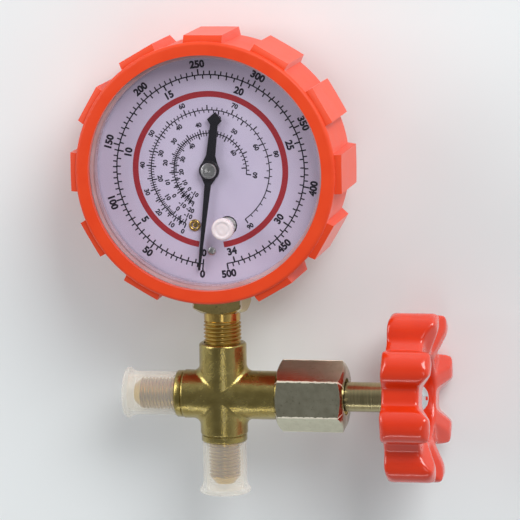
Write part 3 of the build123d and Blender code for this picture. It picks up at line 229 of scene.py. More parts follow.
# Finishes of one grain in two tones: the grain's size in millimetres, its detail and its stretch along X, Y
# and Z; the tones of its low and high parts; the roughness, even or from low to high; the relief's strength
# and its depth in millimetres; and the shader's other settings
GRAINED = {
    # Brass turned bright on the lathe: cleaner and deeper in colour, with a fine grain left by the tool
    "turned_brass": (0.5, 2, None, "#b08e47", "#d7b96e", (0.14, 0.3), (0.2, 0.04), METAL),
    # The same brass in the roots of the threads, painted duller and a little browner as painted shade in the
    # grooves
    "root_shade_brass": (1.5, 2, None, "#a68c46", "#cdb46c", (0.34, 0.5), None, METAL),
    # Drawn phosphor bronze: duller and redder than brass
    "drawn_phosphor_bronze": (4, 4, None, "#8a5c34", "#bb8a58", (0.28, 0.5), None, METAL),
    # Turned steel under yellow zinc: warm grey with rings round the shaft, drawn at 0.5 mm so that they show
    "yellow_zinc_steel": (0.5, 2, (1, 0.04, 0.04), "#8c815c", "#beb288", (0.15, 0.34), (0.3, 0.05), METAL),
    # Machined mild steel: cool grey with fine scratches one way
    "machined_steel": (0.3, 2, (0.1, 1, 1), "#b0b0ac", "#d8d7d0", (0.2, 0.38), None, METAL),
    # Bright nickel-chrome plate: cold, nearly mirror smooth, slightly wavy
    "nickel_chrome_plate": (1.8, 1, None, "#c4c6c8", "#e2e4e6", (0.08, 0.2), (0.2, 0.08), METAL),
    # Dull zinc on the adjusting screw: pale and matt, with a faint bloom
    "barrel_zinc_plate": (0.4, 2, None, "#b4b4ae", "#d6d6d0", 0.5, None, {"Metallic": 0.4}),
    # Black stoved aluminium of the pointer: matt, with a barely raised grain
    "black_stoved_aluminium": (0.25, 2, None, "#0b0a0e", "#19171d", 0.42, (0.2, 0.03), {}),
    # Satin enamel of the dial, a cool lilac white with a trace of mottle
    "dial_enamel": (11, 3, None, "#c9bdd2", "#d6cddd", 0.5, None, {"IOR": 1.5}),
    # Screen-printed inks: flat, slightly broken where the ink lies thin
    "black_printing_ink": (0.8, 2, None, "#120f1a", "#221c2c", 0.55, None, {"IOR": 1.5}),
    "red_printing_ink": (0.8, 2, None, "#98202a", "#b02c32", 0.55, None, {"IOR": 1.5}),
    # The plug's soft vinyl: denser than the caps, and faintly pink against the dial
    "soft_vinyl": (1.6, 2, None, "#e3d5d9", "#efe3e4", 0.36, None, {
        "IOR": 1.5, "Subsurface Weight": 0.25, "Subsurface Radius": (2.0 * MM, 1.6 * MM, 1.4 * MM),
        "Alpha": 0.93}),
    # Machined PTFE: chalky white, waxy
    "machined_ptfe": (1.2, 2, None, "#dfdcd4", "#f1efe9", 0.5, None, {"IOR": 1.35}),
    # Moulded black nylon of the seal: near black, with a satin sheen
    "black_nylon": (0.9, 2, None, "#141416", "#242428", 0.5, None, {"IOR": 1.53}),
}
grained = {}
for name, (size, detail, stretch, low_tone, high_tone, rough, relief, settings) in GRAINED.items():
    finish, where = new_finish(name)
    if stretch:
        where = add(finish, "ShaderNodeMapping", {"Vector": where, "Scale": stretch}).outputs[0]
    grain = add(finish, "ShaderNodeTexNoise", {"Vector": where, "Scale": per_mm(size), "Detail": detail})
    tone = add(finish, "ShaderNodeMix", {0: grain.outputs["Fac"], 6: hexed(low_tone), 7: hexed(high_tone)},
               data_type="RGBA")
    sockets = {"Base Color": tone.outputs[2], "Roughness": rough, **settings}
    if isinstance(rough, tuple):
        sockets["Roughness"] = add(finish, "ShaderNodeMapRange", {
            "Value": grain.outputs["Fac"], "To Min": rough[0], "To Max": rough[1]}).outputs[0]
    if relief:
        sockets["Normal"] = add(finish, "ShaderNodeBump", {
            "Height": grain.outputs["Fac"], "Strength": relief[0], "Distance": relief[1] * MM}).outputs[0]
    surface = add(finish, "ShaderNodeBsdfPrincipled", sockets)
    add(finish, "ShaderNodeOutputMaterial", {"Surface": surface.outputs[0]})
    grained[name] = finish

# Moulded synthetic rubber: one strong colour, a soft broad sheen, and faint flow marks from the mould
boot_rubber, where = new_finish("moulded_rubber")
flow = add(boot_rubber, "ShaderNodeTexNoise", {"Vector": where, "Scale": per_mm(7), "Detail": 4.0})
skin_grain = add(boot_rubber, "ShaderNodeTexNoise", {"Vector": where, "Scale": per_mm(0.35), "Detail": 2.0})
tone = add(boot_rubber, "ShaderNodeMix", {0: flow.outputs["Fac"], 6: hexed("#d93706"), 7: hexed("#e3440f")},
           data_type="RGBA")
shine = add(boot_rubber, "ShaderNodeMapRange", {"Value": flow.outputs["Fac"], "To Min": 0.42, "To Max": 0.56})
relief = add(boot_rubber, "ShaderNodeBump", {
    "Height": skin_grain.outputs["Fac"], "Strength": 0.25, "Distance": 0.06 * MM})
surface = add(boot_rubber, "ShaderNodeBsdfPrincipled", {
    "Base Color": tone.outputs[2], "Roughness": shine.outputs[0], "Normal": relief.outputs[0],
    "Specular IOR Level": 0.4, "IOR": 1.5, "Sheen Weight": 0.2, "Sheen Roughness": 0.35})
add(boot_rubber, "ShaderNodeOutputMaterial", {"Surface": surface.outputs[0]})

# Glossy stoving enamel over a die casting: deep colour under a clear shine, with a faint orange peel
wheel_enamel, where = new_finish("stoving_enamel")
peel = add(wheel_enamel, "ShaderNodeTexNoise", {"Vector": where, "Scale": per_mm(2.2), "Detail": 1.0})
cloud = add(wheel_enamel, "ShaderNodeTexNoise", {"Vector": where, "Scale": per_mm(12), "Detail": 2.0})
tone = add(wheel_enamel, "ShaderNodeMix", {0: cloud.outputs["Fac"], 6: hexed("#cc2c0a"), 7: hexed("#d9380f")},
           data_type="RGBA")
relief = add(wheel_enamel, "ShaderNodeBump", {
    "Height": peel.outputs["Fac"], "Strength": 0.3, "Distance": 0.12 * MM})
shine = add(wheel_enamel, "ShaderNodeMapRange", {
    "Value": peel.outputs["Fac"], "To Min": 0.16, "To Max": 0.26})
surface = add(wheel_enamel, "ShaderNodeBsdfPrincipled", {
    "Base Color": tone.outputs[2], "Roughness": shine.outputs[0], "Normal": relief.outputs[0], "IOR": 1.52,
    "Coat Weight": 0.5, "Coat Roughness": 0.04})
add(wheel_enamel, "ShaderNodeOutputMaterial", {"Surface": surface.outputs[0]})

# Hot-stamped brass, barrelled and lacquered: uneven depth of colour, soft dents and fine sparkling pits
forged_brass, where = new_finish("forged_brass")
dents = add(forged_brass, "ShaderNodeTexNoise", {"Vector": where, "Scale": per_mm(3.4), "Detail": 3.0})
pits = add(forged_brass, "ShaderNodeTexVoronoi", {"Vector": where, "Scale": per_mm(0.55), "Randomness": 1.0})
tone = add(forged_brass, "ShaderNodeMix", {0: dents.outputs["Fac"], 6: hexed("#917d3b"), 7: hexed("#b4a568")},
           data_type="RGBA")
shine = add(forged_brass, "ShaderNodeMapRange", {
    "Value": dents.outputs["Fac"], "To Min": 0.18, "To Max": 0.34})
relief = add(forged_brass, "ShaderNodeBump", {
    "Height": dents.outputs["Fac"], "Strength": 0.5, "Distance": 0.22 * MM})
fine = add(forged_brass, "ShaderNodeBump", {
    "Height": pits.outputs["Distance"], "Strength": 0.5, "Distance": 0.08 * MM, "Normal": relief.outputs[0]})
surface = add(forged_brass, "ShaderNodeBsdfPrincipled", {
    "Base Color": tone.outputs[2], "Roughness": shine.outputs[0], "Metallic": 1.0, "Normal": fine.outputs[0],
    "Coat Weight": 0.3, "Coat Roughness": 0.12})
add(forged_brass, "ShaderNodeOutputMaterial", {"Surface": surface.outputs[0]})

# Milled bar brass, plain on the socket and under a thin nickel wash on the hexagon: flat, with a scatter of
# tiny pits, and a painted highlight along its corners, pale and less metallic, for the light that rounded
# edges catch. The corners stand round the socket's axis (X, Y) or the stem's (Y, Z). After its three tones
# each has those two axes, the number of corners and the first one's angle in degrees
milled = {}
for name, dull, bright, pitted, run, rise, corners, first_corner in (
        ("milled_brass", "#b8a25c", "#d8c486", "#7d6a3a", "X", "Y", 4, 45.0),
        ("nickel_washed_brass", "#b6b296", "#d8d4bc", "#857a52", "Y", "Z", 6, 26.7)):
    milled[name], where = new_finish(name)
    wash = add(milled[name], "ShaderNodeTexNoise", {"Vector": where, "Scale": per_mm(2.6), "Detail": 4.0})
    specks = add(milled[name], "ShaderNodeTexNoise", {"Vector": where, "Scale": per_mm(0.6), "Detail": 1.0})
    spots = add(milled[name], "ShaderNodeMapRange", {
        "Value": specks.outputs["Fac"], "From Min": 0.24, "From Max": 0.34, "To Min": 0.7, "To Max": 0.0})
    tone = add(milled[name], "ShaderNodeMix", {0: wash.outputs["Fac"], 6: hexed(dull), 7: hexed(bright)},
               data_type="RGBA")
    spotted = add(milled[name], "ShaderNodeMix", {0: spots.outputs[0], 6: tone.outputs[2], 7: hexed(pitted)},
                  data_type="RGBA")
    shine = add(milled[name], "ShaderNodeMapRange", {
        "Value": wash.outputs["Fac"], "To Min": 0.12, "To Max": 0.24})
    centred = add(milled[name], "ShaderNodeVectorMath", {
        0: where, 1: (0, 0, VALVE_Z * MM)}, operation="SUBTRACT")
    offset = add(milled[name], "ShaderNodeSeparateXYZ", {0: centred.outputs[0]})
    around = add(milled[name], "ShaderNodeMath", {0: offset.outputs[rise], 1: offset.outputs[run]},
                 operation="ARCTAN2")
    around = add(milled[name], "ShaderNodeMath", {0: around.outputs[0], 1: math.radians(first_corner)},
                 operation="SUBTRACT")
    off_corner = add(milled[name], "ShaderNodeMath", {0: around.outputs[0], 1: math.pi / corners},
                     operation="PINGPONG")
    # Painted highlight: a thin pale band along each corner, less metallic, its width broken up by the specks
    highlight_width = add(milled[name], "ShaderNodeMapRange", {
        "Value": specks.outputs["Fac"], "From Min": 0.35, "From Max": 0.6, "To Min": 0.012, "To Max": 0.032})
    painted_edge_highlight = add(milled[name], "ShaderNodeMath", {0: off_corner.outputs[0], 1: highlight_width.outputs[0]},
                  operation="LESS_THAN")
    spotted = add(milled[name], "ShaderNodeMix", {
        0: painted_edge_highlight.outputs[0], 6: spotted.outputs[2], 7: hexed("#f4eed8")}, data_type="RGBA")
    metal = add(milled[name], "ShaderNodeMapRange", {
        "Value": painted_edge_highlight.outputs[0], "To Min": 1.0, "To Max": 0.35})
    relief = add(milled[name], "ShaderNodeBump", {
        "Height": specks.outputs["Fac"], "Strength": 0.25, "Distance": 0.05 * MM})
    surface = add(milled[name], "ShaderNodeBsdfPrincipled", {
        "Base Color": spotted.outputs[2], "Roughness": shine.outputs[0], "Metallic": metal.outputs[0],
        "Normal": relief.outputs[0]})
    add(milled[name], "ShaderNodeOutputMaterial", {"Surface": surface.outputs[0]})

# Deep-drawn steel can, zinc plated: soft grey with rings about the dial's axis
drawn_steel, where = new_finish("drawn_zinc_steel")
centred = add(drawn_steel, "ShaderNodeMapping", {"Vector": where, "Location": (0, 0, -GAUGE_Z * MM)})
rings = add(drawn_steel, "ShaderNodeTexWave", {
    "Vector": centred.outputs[0], "Scale": per_mm(4), "Distortion": 0.4, "Detail": 2.0},
    wave_type="RINGS", rings_direction="Y")
tone = add(drawn_steel, "ShaderNodeMix", {0: rings.outputs["Fac"], 6: hexed("#b9b8bb"), 7: hexed("#d0cfd2")},
           data_type="RGBA")
shine = add(drawn_steel, "ShaderNodeMapRange", {"Value": rings.outputs["Fac"], "To Min": 0.3, "To Max": 0.42})
relief = add(drawn_steel, "ShaderNodeBump", {
    "Height": rings.outputs["Fac"], "Strength": 0.15, "Distance": 0.05 * MM})
surface = add(drawn_steel, "ShaderNodeBsdfPrincipled", {
    "Base Color": tone.outputs[2], "Roughness": shine.outputs[0], "Metallic": 1.0,
    "Normal": relief.outputs[0]})
add(drawn_steel, "ShaderNodeOutputMaterial", {"Surface": surface.outputs[0]})

# Moulded natural polyethylene: thin, waxy and see-through, whiter where it is seen edge on
milky_cap, where = new_finish("natural_polyethylene")
haze = add(milky_cap, "ShaderNodeTexNoise", {"Vector": where, "Scale": per_mm(5), "Detail": 3.0})
tone = add(milky_cap, "ShaderNodeMix", {0: haze.outputs["Fac"], 6: hexed("#f0ede6"), 7: hexed("#fbfaf6")},
           data_type="RGBA")
wax = add(milky_cap, "ShaderNodeBsdfPrincipled", {
    "Base Color": tone.outputs[2], "Roughness": 0.28, "IOR": 1.51})
clear_part = add(milky_cap, "ShaderNodeBsdfTransparent", {"Color": hexed("#fffefb")})
edge_on = add(milky_cap, "ShaderNodeLayerWeight", {"Blend": 0.35})
cover = add(milky_cap, "ShaderNodeMapRange", {
    "Value": edge_on.outputs["Facing"], "To Min": 0.13, "To Max": 0.5})
surface = add(milky_cap, "ShaderNodeMixShader", {
    0: cover.outputs[0], 1: clear_part.outputs[0], 2: wax.outputs[0]})
add(milky_cap, "ShaderNodeOutputMaterial", {"Surface": surface.outputs[0]})

# Moulded clear polycarbonate: seen by its reflections alone, but for its skirt, which is left frosted, with a
# streaky pink and red tone that is a painted reflection of the red boot
clear_lens, where = new_finish("clear_polycarbonate")
ripple = add(clear_lens, "ShaderNodeTexNoise", {"Vector": where, "Scale": per_mm(26), "Detail": 1.0})
relief = add(clear_lens, "ShaderNodeBump", {
    "Height": ripple.outputs["Fac"], "Strength": 0.2, "Distance": 0.3 * MM})
grazing = add(clear_lens, "ShaderNodeLayerWeight", {"Blend": 0.5, "Normal": relief.outputs[0]})
steep = add(clear_lens, "ShaderNodeMath", {0: grazing.outputs["Facing"], 1: 5.0}, operation="POWER")
glance = add(clear_lens, "ShaderNodeMapRange", {"Value": steep.outputs[0], "To Min": 0.012, "To Max": 0.9})
gleam = add(clear_lens, "ShaderNodeBsdfGlossy", {"Roughness": 0.03, "Normal": relief.outputs[0]})
through = add(clear_lens, "ShaderNodeBsdfTransparent", {"Color": hexed("#fbfbfd")})
clear = add(clear_lens, "ShaderNodeMixShader", {
    0: glance.outputs[0], 1: through.outputs[0], 2: gleam.outputs[0]})
from_middle = add(clear_lens, "ShaderNodeVectorMath", {
    0: where, 1: (0, 0, GAUGE_Z * MM)}, operation="SUBTRACT")
flattened = add(clear_lens, "ShaderNodeVectorMath", {
    0: from_middle.outputs[0], 1: (1, 0, 1)}, operation="MULTIPLY")
reach = add(clear_lens, "ShaderNodeVectorMath", {0: flattened.outputs[0]}, operation="LENGTH")
skirt = add(clear_lens, "ShaderNodeMapRange", {
    "Value": reach.outputs["Value"], "From Min": LENS_SKIRT_FROM * MM, "From Max": LENS_SKIRT_TO * MM,
    "To Min": 0.0, "To Max": 0.6})
# Painted reflection: pink and red streaks in the frosted skirt's colour stand for the boot seen in it
painted_boot_reflection = add(clear_lens, "ShaderNodeTexNoise", {"Vector": where, "Scale": per_mm(9), "Detail": 3.0})
tone = add(clear_lens, "ShaderNodeMix", {0: painted_boot_reflection.outputs["Fac"], 6: hexed("#c98a82"), 7: hexed("#ead8de")},
           data_type="RGBA")
frosted_reflecting_skirt = add(clear_lens, "ShaderNodeBsdfPrincipled", {"Base Color": tone.outputs[2], "Roughness": 0.25})
surface = add(clear_lens, "ShaderNodeMixShader", {
    0: skirt.outputs[0], 1: clear.outputs[0], 2: frosted_reflecting_skirt.outputs[0]})
add(clear_lens, "ShaderNodeOutputMaterial", {"Surface": surface.outputs[0]})

# Each solid's own mesh is dressed too, also where a finer piece stands for it
DRESS = {
    forged_brass: ("valve_body",),
    milled["nickel_washed_brass"]: ("bonnet",),
    milled["milled_brass"]: ("gauge_socket",),
    grained["turned_brass"]: (
        "gland_ring", "poppet", "tube_tip", "back_plate", "front_plate", "plate_pillars", "sector_gear",
        "pinion", "link", "dial_posts", "dial_screw"),
    grained["drawn_phosphor_bronze"]: ("bourdon_tube", "hairspring"),
    grained["yellow_zinc_steel"]: ("stem",),
    grained["machined_steel"]: ("lock_washer", "plate_screws", "adjuster_screw", "dial_pin", "case_screws"),
    grained["nickel_chrome_plate"]: ("wheel_screw", "pointer_cap"),
    drawn_steel: ("case",),
    wheel_enamel: ("hand_wheel",),
    boot_rubber: ("boot",),
    milky_cap: ("left_cap", "bottom_cap"),
    grained["soft_vinyl"]: ("lens_plug",),
    grained["dial_enamel"]: ("dial",),
    grained["black_stoved_aluminium"]: ("pointer",),
    clear_lens: ("lens",),
    grained["machined_ptfe"]: ("stem_packing", "seat_disc"),
    grained["black_nylon"]: ("bonnet_seal",),
}
for finish, dressed in DRESS.items():
    for name in dressed:
        nodes[name].data.materials.clear()
        nodes[name].data.materials.append(finish)

# ---------------------------------------------------------------- valve

PORTS = (((0, 0, VALVE_Z), (-1, 0, 0)), ((0, 0, VALVE_Z), (0, 0, -1)))
# Crests and flanks take turned brass; the roots take a duller, browner brass as painted shade in the grooves
THREADED = (grained["turned_brass"], grained["root_shade_brass"])  # crests and flanks, then roots

# The forging, with its two free arms cut off where the turned ends begin
forging = copy_of("valve_body")
for at, along in PORTS:
    cut_away(forging, Vector(at) + Vector(along) * TURNED_FROM, along)
shape_to_piece("forged_body", forging, forged_brass, "body", ("valve_body",), rounding=0.35)
for name, (at, along), arm in zip(("left_end", "bottom_end"), PORTS, (LEFT_ARM, BOTTOM_ARM)):
    end = turned(
        [(TURNED_FROM - 0.4, BORE), (TURNED_FROM - 0.4, arm - 0.3), (TURNED_FROM + 0.1, arm - 0.35),
         (TURNED_FROM + 0.35, arm - 0.6), (TURNED_FROM + 0.6, arm - 0.6), (TURNED_FROM + 0.85, arm - 0.3),
         (PORT_SHOULDER - 0.45, arm - 0.3), (PORT_SHOULDER - 0.1, arm - 0.55), (PORT_SHOULDER, arm - 0.9),
         (PORT_SHOULDER, BORE)], at, along)
    shape_to_piece(name, end, forged_brass, "body", sharp=50)
for name, (at, along) in zip(("left_port", "bottom_port"), PORTS):
    port = screw_thread(at, along, THREAD_START, THREAD_END, PORT_PITCH, PORT_CREST, PORT_ROOT)
    land = turned(
        [(PORT_SHOULDER - 1.5, BORE), (PORT_SHOULDER - 1.5, 5.3), (THREAD_START - 0.25, 5.3),
         (THREAD_START, 5.05), (THREAD_START, BORE)], at, along)
    nose = turned(
        [(THREAD_END, BORE), (THREAD_END, PORT_CREST - 0.3), (PORT_REACH - 0.25, 3.5), (PORT_REACH, 3.2),
         (PORT_REACH, BORE + 0.2), (PORT_REACH - 0.2, BORE)], at, along)
    join(join(port, land), nose)
    shape_to_piece(name, port, THREADED, "body", sharp=28)

shape_to_piece("hexagon_bonnet", copy_of("bonnet"), milled["nickel_washed_brass"], "body",
               ("bonnet",), rounding=0.3)

# The gauge's socket, with its neck cut off at the square, and a real thread and its run-out in its place
socket = copy_of("gauge_socket")
cut_away(socket, (0, 0, NECK_TOP), (0, 0, -1))
neck = screw_thread((0, 0, 0), (0, 0, 1), NECK_BASE, THREAD_TOP, NECK_PITCH, NECK_CREST, NECK_ROOT)
join(neck, turned(
    [(THREAD_TOP, BORE), (THREAD_TOP, 5.95), (THREAD_TOP + 0.4, 6.0), (THREAD_TOP + 0.8, 6.35),
     (NECK_TOP - 0.3, 6.35), (NECK_TOP, 6.1), (NECK_TOP + 0.3, 6.1), (NECK_TOP + 0.3, BORE)],
    (0, 0, 0), (0, 0, 1)))
shape_to_piece("neck_thread", neck, THREADED, "body", sharp=28)
shape_to_piece("square_socket", socket, milled["milled_brass"], "body", ("gauge_socket",),
               rounding=0.3)

# The wheel: the solid's shape, cast soft at every edge
wheel = shape_to_piece("cast_wheel", copy_of("hand_wheel"), wheel_enamel, "stem",
                       ("hand_wheel",), sharp=180)
remesh = wheel.modifiers.new("cast", "REMESH")
remesh.mode = "VOXEL"
remesh.voxel_size = 0.5 * MM
remesh.use_smooth_shade = True
soften = wheel.modifiers.new("soften", "SMOOTH")
soften.factor = 0.5
soften.iterations = 22
depsgraph = bpy.context.evaluated_depsgraph_get()
cast_mesh = bpy.data.meshes.new_from_object(wheel.evaluated_get(depsgraph))
wheel.modifiers.clear()

# Softening draws the wheel in a little, so it is brought back to its full reach
back, front, reach = spread(wheel.data)
soft_back, soft_front, soft_reach = spread(cast_mesh)
soft_end = Vector((soft_back, 0, VALVE_Z * MM))
wider = reach / soft_reach
grow = Matrix.Diagonal(((front - back) / (soft_front - soft_back), wider, wider, 1.0))
to_end = Matrix.Translation(soft_end + Vector((back - soft_back, 0, 0)))
cast_mesh.transform(to_end @ grow @ Matrix.Translation(-soft_end))
wheel.data = cast_mesh

# ---------------------------------------------------------------- gauge

shape_to_piece("rubber_boot", copy_of("boot"), boot_rubber, "body", ("boot",), rounding=0.45)
shape_to_piece("stamped_pointer", copy_of("pointer"), grained["black_stoved_aluminium"], "pointer",
               ("pointer",), rounding=0.12)

shape_to_piece("pointer_boss", turned(
    [(0.0, 0.0), (0.0, 2.75), (0.3, 2.75), (0.52, 2.6), (0.58, 2.4), (0.52, 2.15), (0.5, 1.9), (0.52, 0.7),
     (0.42, 0.45), (0.2, 0.3), (0.15, 0.0)],
    (0, POINTER_FACE_Y, GAUGE_Z), (0, -1, 0), 64), grained["machined_steel"], "pointer",
    ("pointer_cap",), sharp=30)

shape_to_piece("dial_eyelet", turned(
    [(-3.0, 0.0), (-3.0, 1.3), (0.0, 1.3), (0.0, 2.05), (0.3, 2.05), (0.6, 1.8), (0.68, 1.55), (0.55, 1.2),
     (0.2, 1.05), (-1.8, 1.0), (-2.0, 0.0)],
    (-SCREW_PAIR, DIAL_FACE_Y, GAUGE_Z - SCREW_DROP), (0, -1, 0), 48), grained["turned_brass"], "body",
    ("dial_screw",), sharp=50)

shape_to_piece("dial_stud", turned(
    [(-3.0, 0.0), (-3.0, 0.9), (0.0, 0.9), (0.0, 1.4), (0.22, 1.38), (0.4, 1.1), (0.5, 0.6), (0.5, 0.0)],
    (0, DIAL_FACE_Y, GAUGE_Z - PIN_DROP), (0, -1, 0), 40), grained["machined_steel"], "body",
    ("dial_pin",), sharp=50)

shape_to_piece("vinyl_plug", turned(
    [(-2.5, 0.0), (-2.5, 2.3), (-2.3, 2.5), (0.05, 2.5), (0.05, 3.7), (0.2, 3.8), (2.2, 3.8), (2.75, 3.65),
     (3.05, 3.35), (3.15, 3.0), (3.1, 2.6), (2.92, 2.4), (2.85, 2.1), (2.92, 1.8), (3.0, 1.5), (2.96, 0.9),
     (2.9, 0.5), (2.9, 0.0)],
    (SCREW_PAIR, LENS_FRONT_Y, GAUGE_Z - SCREW_DROP), (0, -1, 0), 64), grained["soft_vinyl"], "lens_plug",
    ("lens_plug",), sharp=50)

# The dial's turned-down edge, which meets the wall of the case
shape_to_piece("dial_edge", turned(
    [(-0.6, 39.2), (-0.6, 40.9), (-0.1, 40.9), (-0.1, 39.2), (-0.6, 39.2)],
    (0, DIAL_FACE_Y, GAUGE_Z), (0, -1, 0), 160), grained["dial_enamel"], "body", sharp=50)

# The adjusting screw's head, brought up to just under its window in the dial
head = copy_of("adjuster_screw")
bmesh.ops.translate(
    head, vec=(0, -HEAD_FORWARD, 0), verts=[corner for corner in head.verts if corner.co.y < HEAD_START])
shape_to_piece("slotted_head", head, grained["barrel_zinc_plate"], "adjuster", ("adjuster_screw",),
               rounding=0.15)

# ---------------------------------------------------------------- dial print


def at_angle(theta, radius, lift=0.0):
    """A place on the dial's drawing: an angle clockwise from straight down, in degrees, and a radius."""
    turn = math.radians(theta)
    return Vector((-math.sin(turn) * radius, -math.cos(turn) * radius, lift))


def on_scale(marks, place):
    """The angle at a place along evenly spaced marks, on a smooth curve through their angles."""
    at = min(max(int(place), 0), len(marks) - 2)
    share = place - at
    low_mark, high_mark = marks[at:at + 2]
    before = marks[at - 1] if at else 2 * low_mark - high_mark
    after = marks[at + 2] if at + 2 < len(marks) else 2 * high_mark - low_mark
    bend = share * (3 * (low_mark - high_mark) + after - before)
    bend = share * (2 * before - 5 * low_mark + 4 * high_mark - after + bend)
    return low_mark + 0.5 * share * (high_mark - before + bend)


def psi_angle(psi):
    """The angle of a pressure on the dial."""
    return on_scale(PRESSURE_MARKS, psi / 50)


def tick(shape, theta, inner, outer, width):
    """A short printed line along a radius."""
    middle = Matrix.Translation(at_angle(theta, (inner + outer) / 2, INK / 2))
    turned_to = Matrix.Rotation(math.radians(-theta), 4, "Z")
    size = Matrix.Diagonal((width, outer - inner, INK, 1))
    bmesh.ops.create_cube(shape, size=1.0, matrix=middle @ turned_to @ size)


def band(shape, radius, width, start, sweep):
    """A printed arc: a thin section carried round the dial."""
    inner, outer = radius - width / 2, radius + width / 2
    corners = [shape.verts.new(at_angle(start, r, lift))
               for r, lift in ((inner, 0), (outer, 0), (outer, INK), (inner, INK))]
    edges = [shape.edges.new((corners[at], corners[at - 1])) for at in range(4)]
    section = shape.faces.new(corners)
    bmesh.ops.spin(
        shape, geom=[section, *corners, *edges], cent=(0, 0, 0), axis=(0, 0, 1), angle=-math.radians(sweep),
        steps=180)


def number(shape, text, theta, radius, height, bold):
    """A printed number, upright up to 5 degrees below the level and turned outwards from there."""
    curve = bpy.data.curves.new("number", "FONT")
    curve.body = text
    curve.align_x = "CENTER"
    curve.align_y = "CENTER"
    curve.size = height / DIGIT_SHARE
    curve.extrude = INK / 2
    curve.offset = bold
    curve.resolution_u = 3
    holder = bpy.data.objects.new("number", curve)
    bpy.context.scene.collection.objects.link(holder)
    bpy.context.view_layer.update()
    mesh = bpy.data.meshes.new_from_object(holder.evaluated_get(bpy.context.evaluated_depsgraph_get()))
    bpy.data.objects.remove(holder)
    bpy.data.curves.remove(curve)
    lower = math.cos(math.radians(theta)) >= 0.09
    turned_to = Matrix.Rotation(math.radians(-theta if lower else 180 - theta), 4, "Z")
    mesh.transform(Matrix.Translation(at_angle(theta, radius, INK / 2)) @ turned_to)
    shape.from_mesh(mesh)
    bpy.data.meshes.remove(mesh)


# The pressure scale, with marks in psi outside its line and in half bars inside it
black = bmesh.new()
band(black, SCALE_RADIUS, 0.44, PRESSURE_MARKS[0], PRESSURE_MARKS[-1] - PRESSURE_MARKS[0])
for psi in range(5, 501, 5):
    long = psi % 50 == 0
    end = SCALE_RADIUS + (2.1 if long else 1.4)
    tick(black, psi_angle(psi), SCALE_RADIUS, end, 0.54 if long else 0.46)
for half_bars in range(1, 69):
    long = half_bars % 10 == 0 or half_bars == 68
    end = SCALE_RADIUS - (1.95 if long else 1.4)
    tick(black, psi_angle(half_bars * 0.5 * PSI_PER_BAR), end, SCALE_RADIUS, 0.54 if long else 0.46)
tick(black, psi_angle(0), SCALE_RADIUS - 1.7, SCALE_RADIUS + 2.2, 0.5)
for psi in range(0, 501, 50):
    number(black, str(psi), psi_angle(psi), 36.5, 2.35, 0.175)
for bar in (0, 5, 10, 15, 20, 25, 30, 34):
    number(black, str(bar), psi_angle(bar * PSI_PER_BAR), 29.1, 2.3, 0.165)

# Four temperature scales inside the red ring: the line's radius, the marks' side, the numbers' radius and
# height, the first and last degree, the degree from which every single one is marked, and each ten's angle
TEMPERATURES = (
    (20.7, 1, 23.75, 1.55, 0, 90, 30, (25.2, 36.4, 50.8, 70.4, 93.5, 121.5, 156.5, 202.1, 256.2, 324.8)),
    (20.7, -1, 17.95, 1.55, -10, 65, 0, (26.8, 40.6, 57.7, 79.8, 107.8, 143.8, 189.5, 243.8, 313.0)),
    (12.7, 1, 15.8, 1.45, -20, 60, 20, (27.5, 39.6, 54.6, 74.0, 98.3, 128.1, 166.1, 213.1, 276.4)),
    (12.7, -1, 10.1, 1.4, -10, 65, 20, (33.8, 47.9, 64.0, 85.2, 110.4, 142.3, 184.0, 234.2, 301.0)),
)
for radius, side, label_radius, height, lowest, highest, fine_from, tens in TEMPERATURES:
    for degree in range(lowest, highest + 1):
        if degree < fine_from and degree % 2 and degree % 5:
            continue
        size = 1.7 if degree % 5 == 0 else 1.0
        theta = on_scale(tens, (degree - lowest) / 10)
        tick(black, theta, *sorted((radius, radius + side * size)), 0.44 if degree % 5 == 0 else 0.32)
        if degree % 10 == 0:
            number(black, str(degree), theta, label_radius, height, 0.1)
    if side > 0:
        band(black, radius, 0.34, tens[0], tens[-1] - tens[0])
bmesh.ops.transform(black, matrix=DIAL_PLANE, verts=black.verts)
shape_to_piece("dial_print", black, grained["black_printing_ink"], "body")

red = bmesh.new()
band(red, 26.22, 2.05, 9.6, 341.1)
bmesh.ops.transform(red, matrix=DIAL_PLANE, verts=red.verts)
shape_to_piece("dial_ring", red, grained["red_printing_ink"], "body")

# ---------------------------------------------------------------- camera, light and paper

camera = bpy.data.objects.new("camera", bpy.data.cameras.new("camera"))
bpy.context.scene.collection.objects.link(camera)
bpy.context.scene.camera = camera
# The way the camera stands, as three unit directions
right = Vector((0.98087, 0.19387, -0.017588))
up = Vector((-0.013686, 0.158802, 0.987216))
away = Vector((-0.194187, 0.968089, -0.158417))
turn = Matrix((right, up, -away)).transposed().to_4x4()
camera.matrix_world = Matrix.Translation((0.28564, -1.35532, 0.29850)) @ turn
camera.data.lens = 279.14
camera.data.sensor_width = 36
camera.data.clip_end = 20


def softbox(name, at, aim, size, power):
    """A white rectangular lamp at a place, turned to an aim; sizes in metres and power in watts."""
    lamp = bpy.data.lights.new(name, "AREA")
    lamp.shape = "RECTANGLE"
    lamp.size, lamp.size_y = size
    lamp.energy = power
    holder = bpy.data.objects.new(name, lamp)
    bpy.context.scene.collection.objects.link(holder)
    holder.location = at
    holder.rotation_mode = "QUATERNION"
    holder.rotation_quaternion = (Vector(aim) - Vector(at)).to_track_quat("-Z", "Y")


softbox("key", (0.68, -0.84, 0.94), (0, 0, 0.08), (0.8, 0.7), 13.6)
softbox("side", (-0.9, -0.6, 0.5), (0, 0, 0.08), (0.5, 0.8), 5.6)
softbox("rim", (0.8, 0.5, 0.8), (0, 0, 0.1), (0.5, 0.5), 3.0)
softbox("upright_strip", (0.2, -1.08, -0.12), (0, 0, 0.06), (0.16, 0.4), 0.5)
softbox("low_strip", (-0.2, -0.45, -0.85), (0, 0, 0.03), (0.8, 0.06), 0.8)

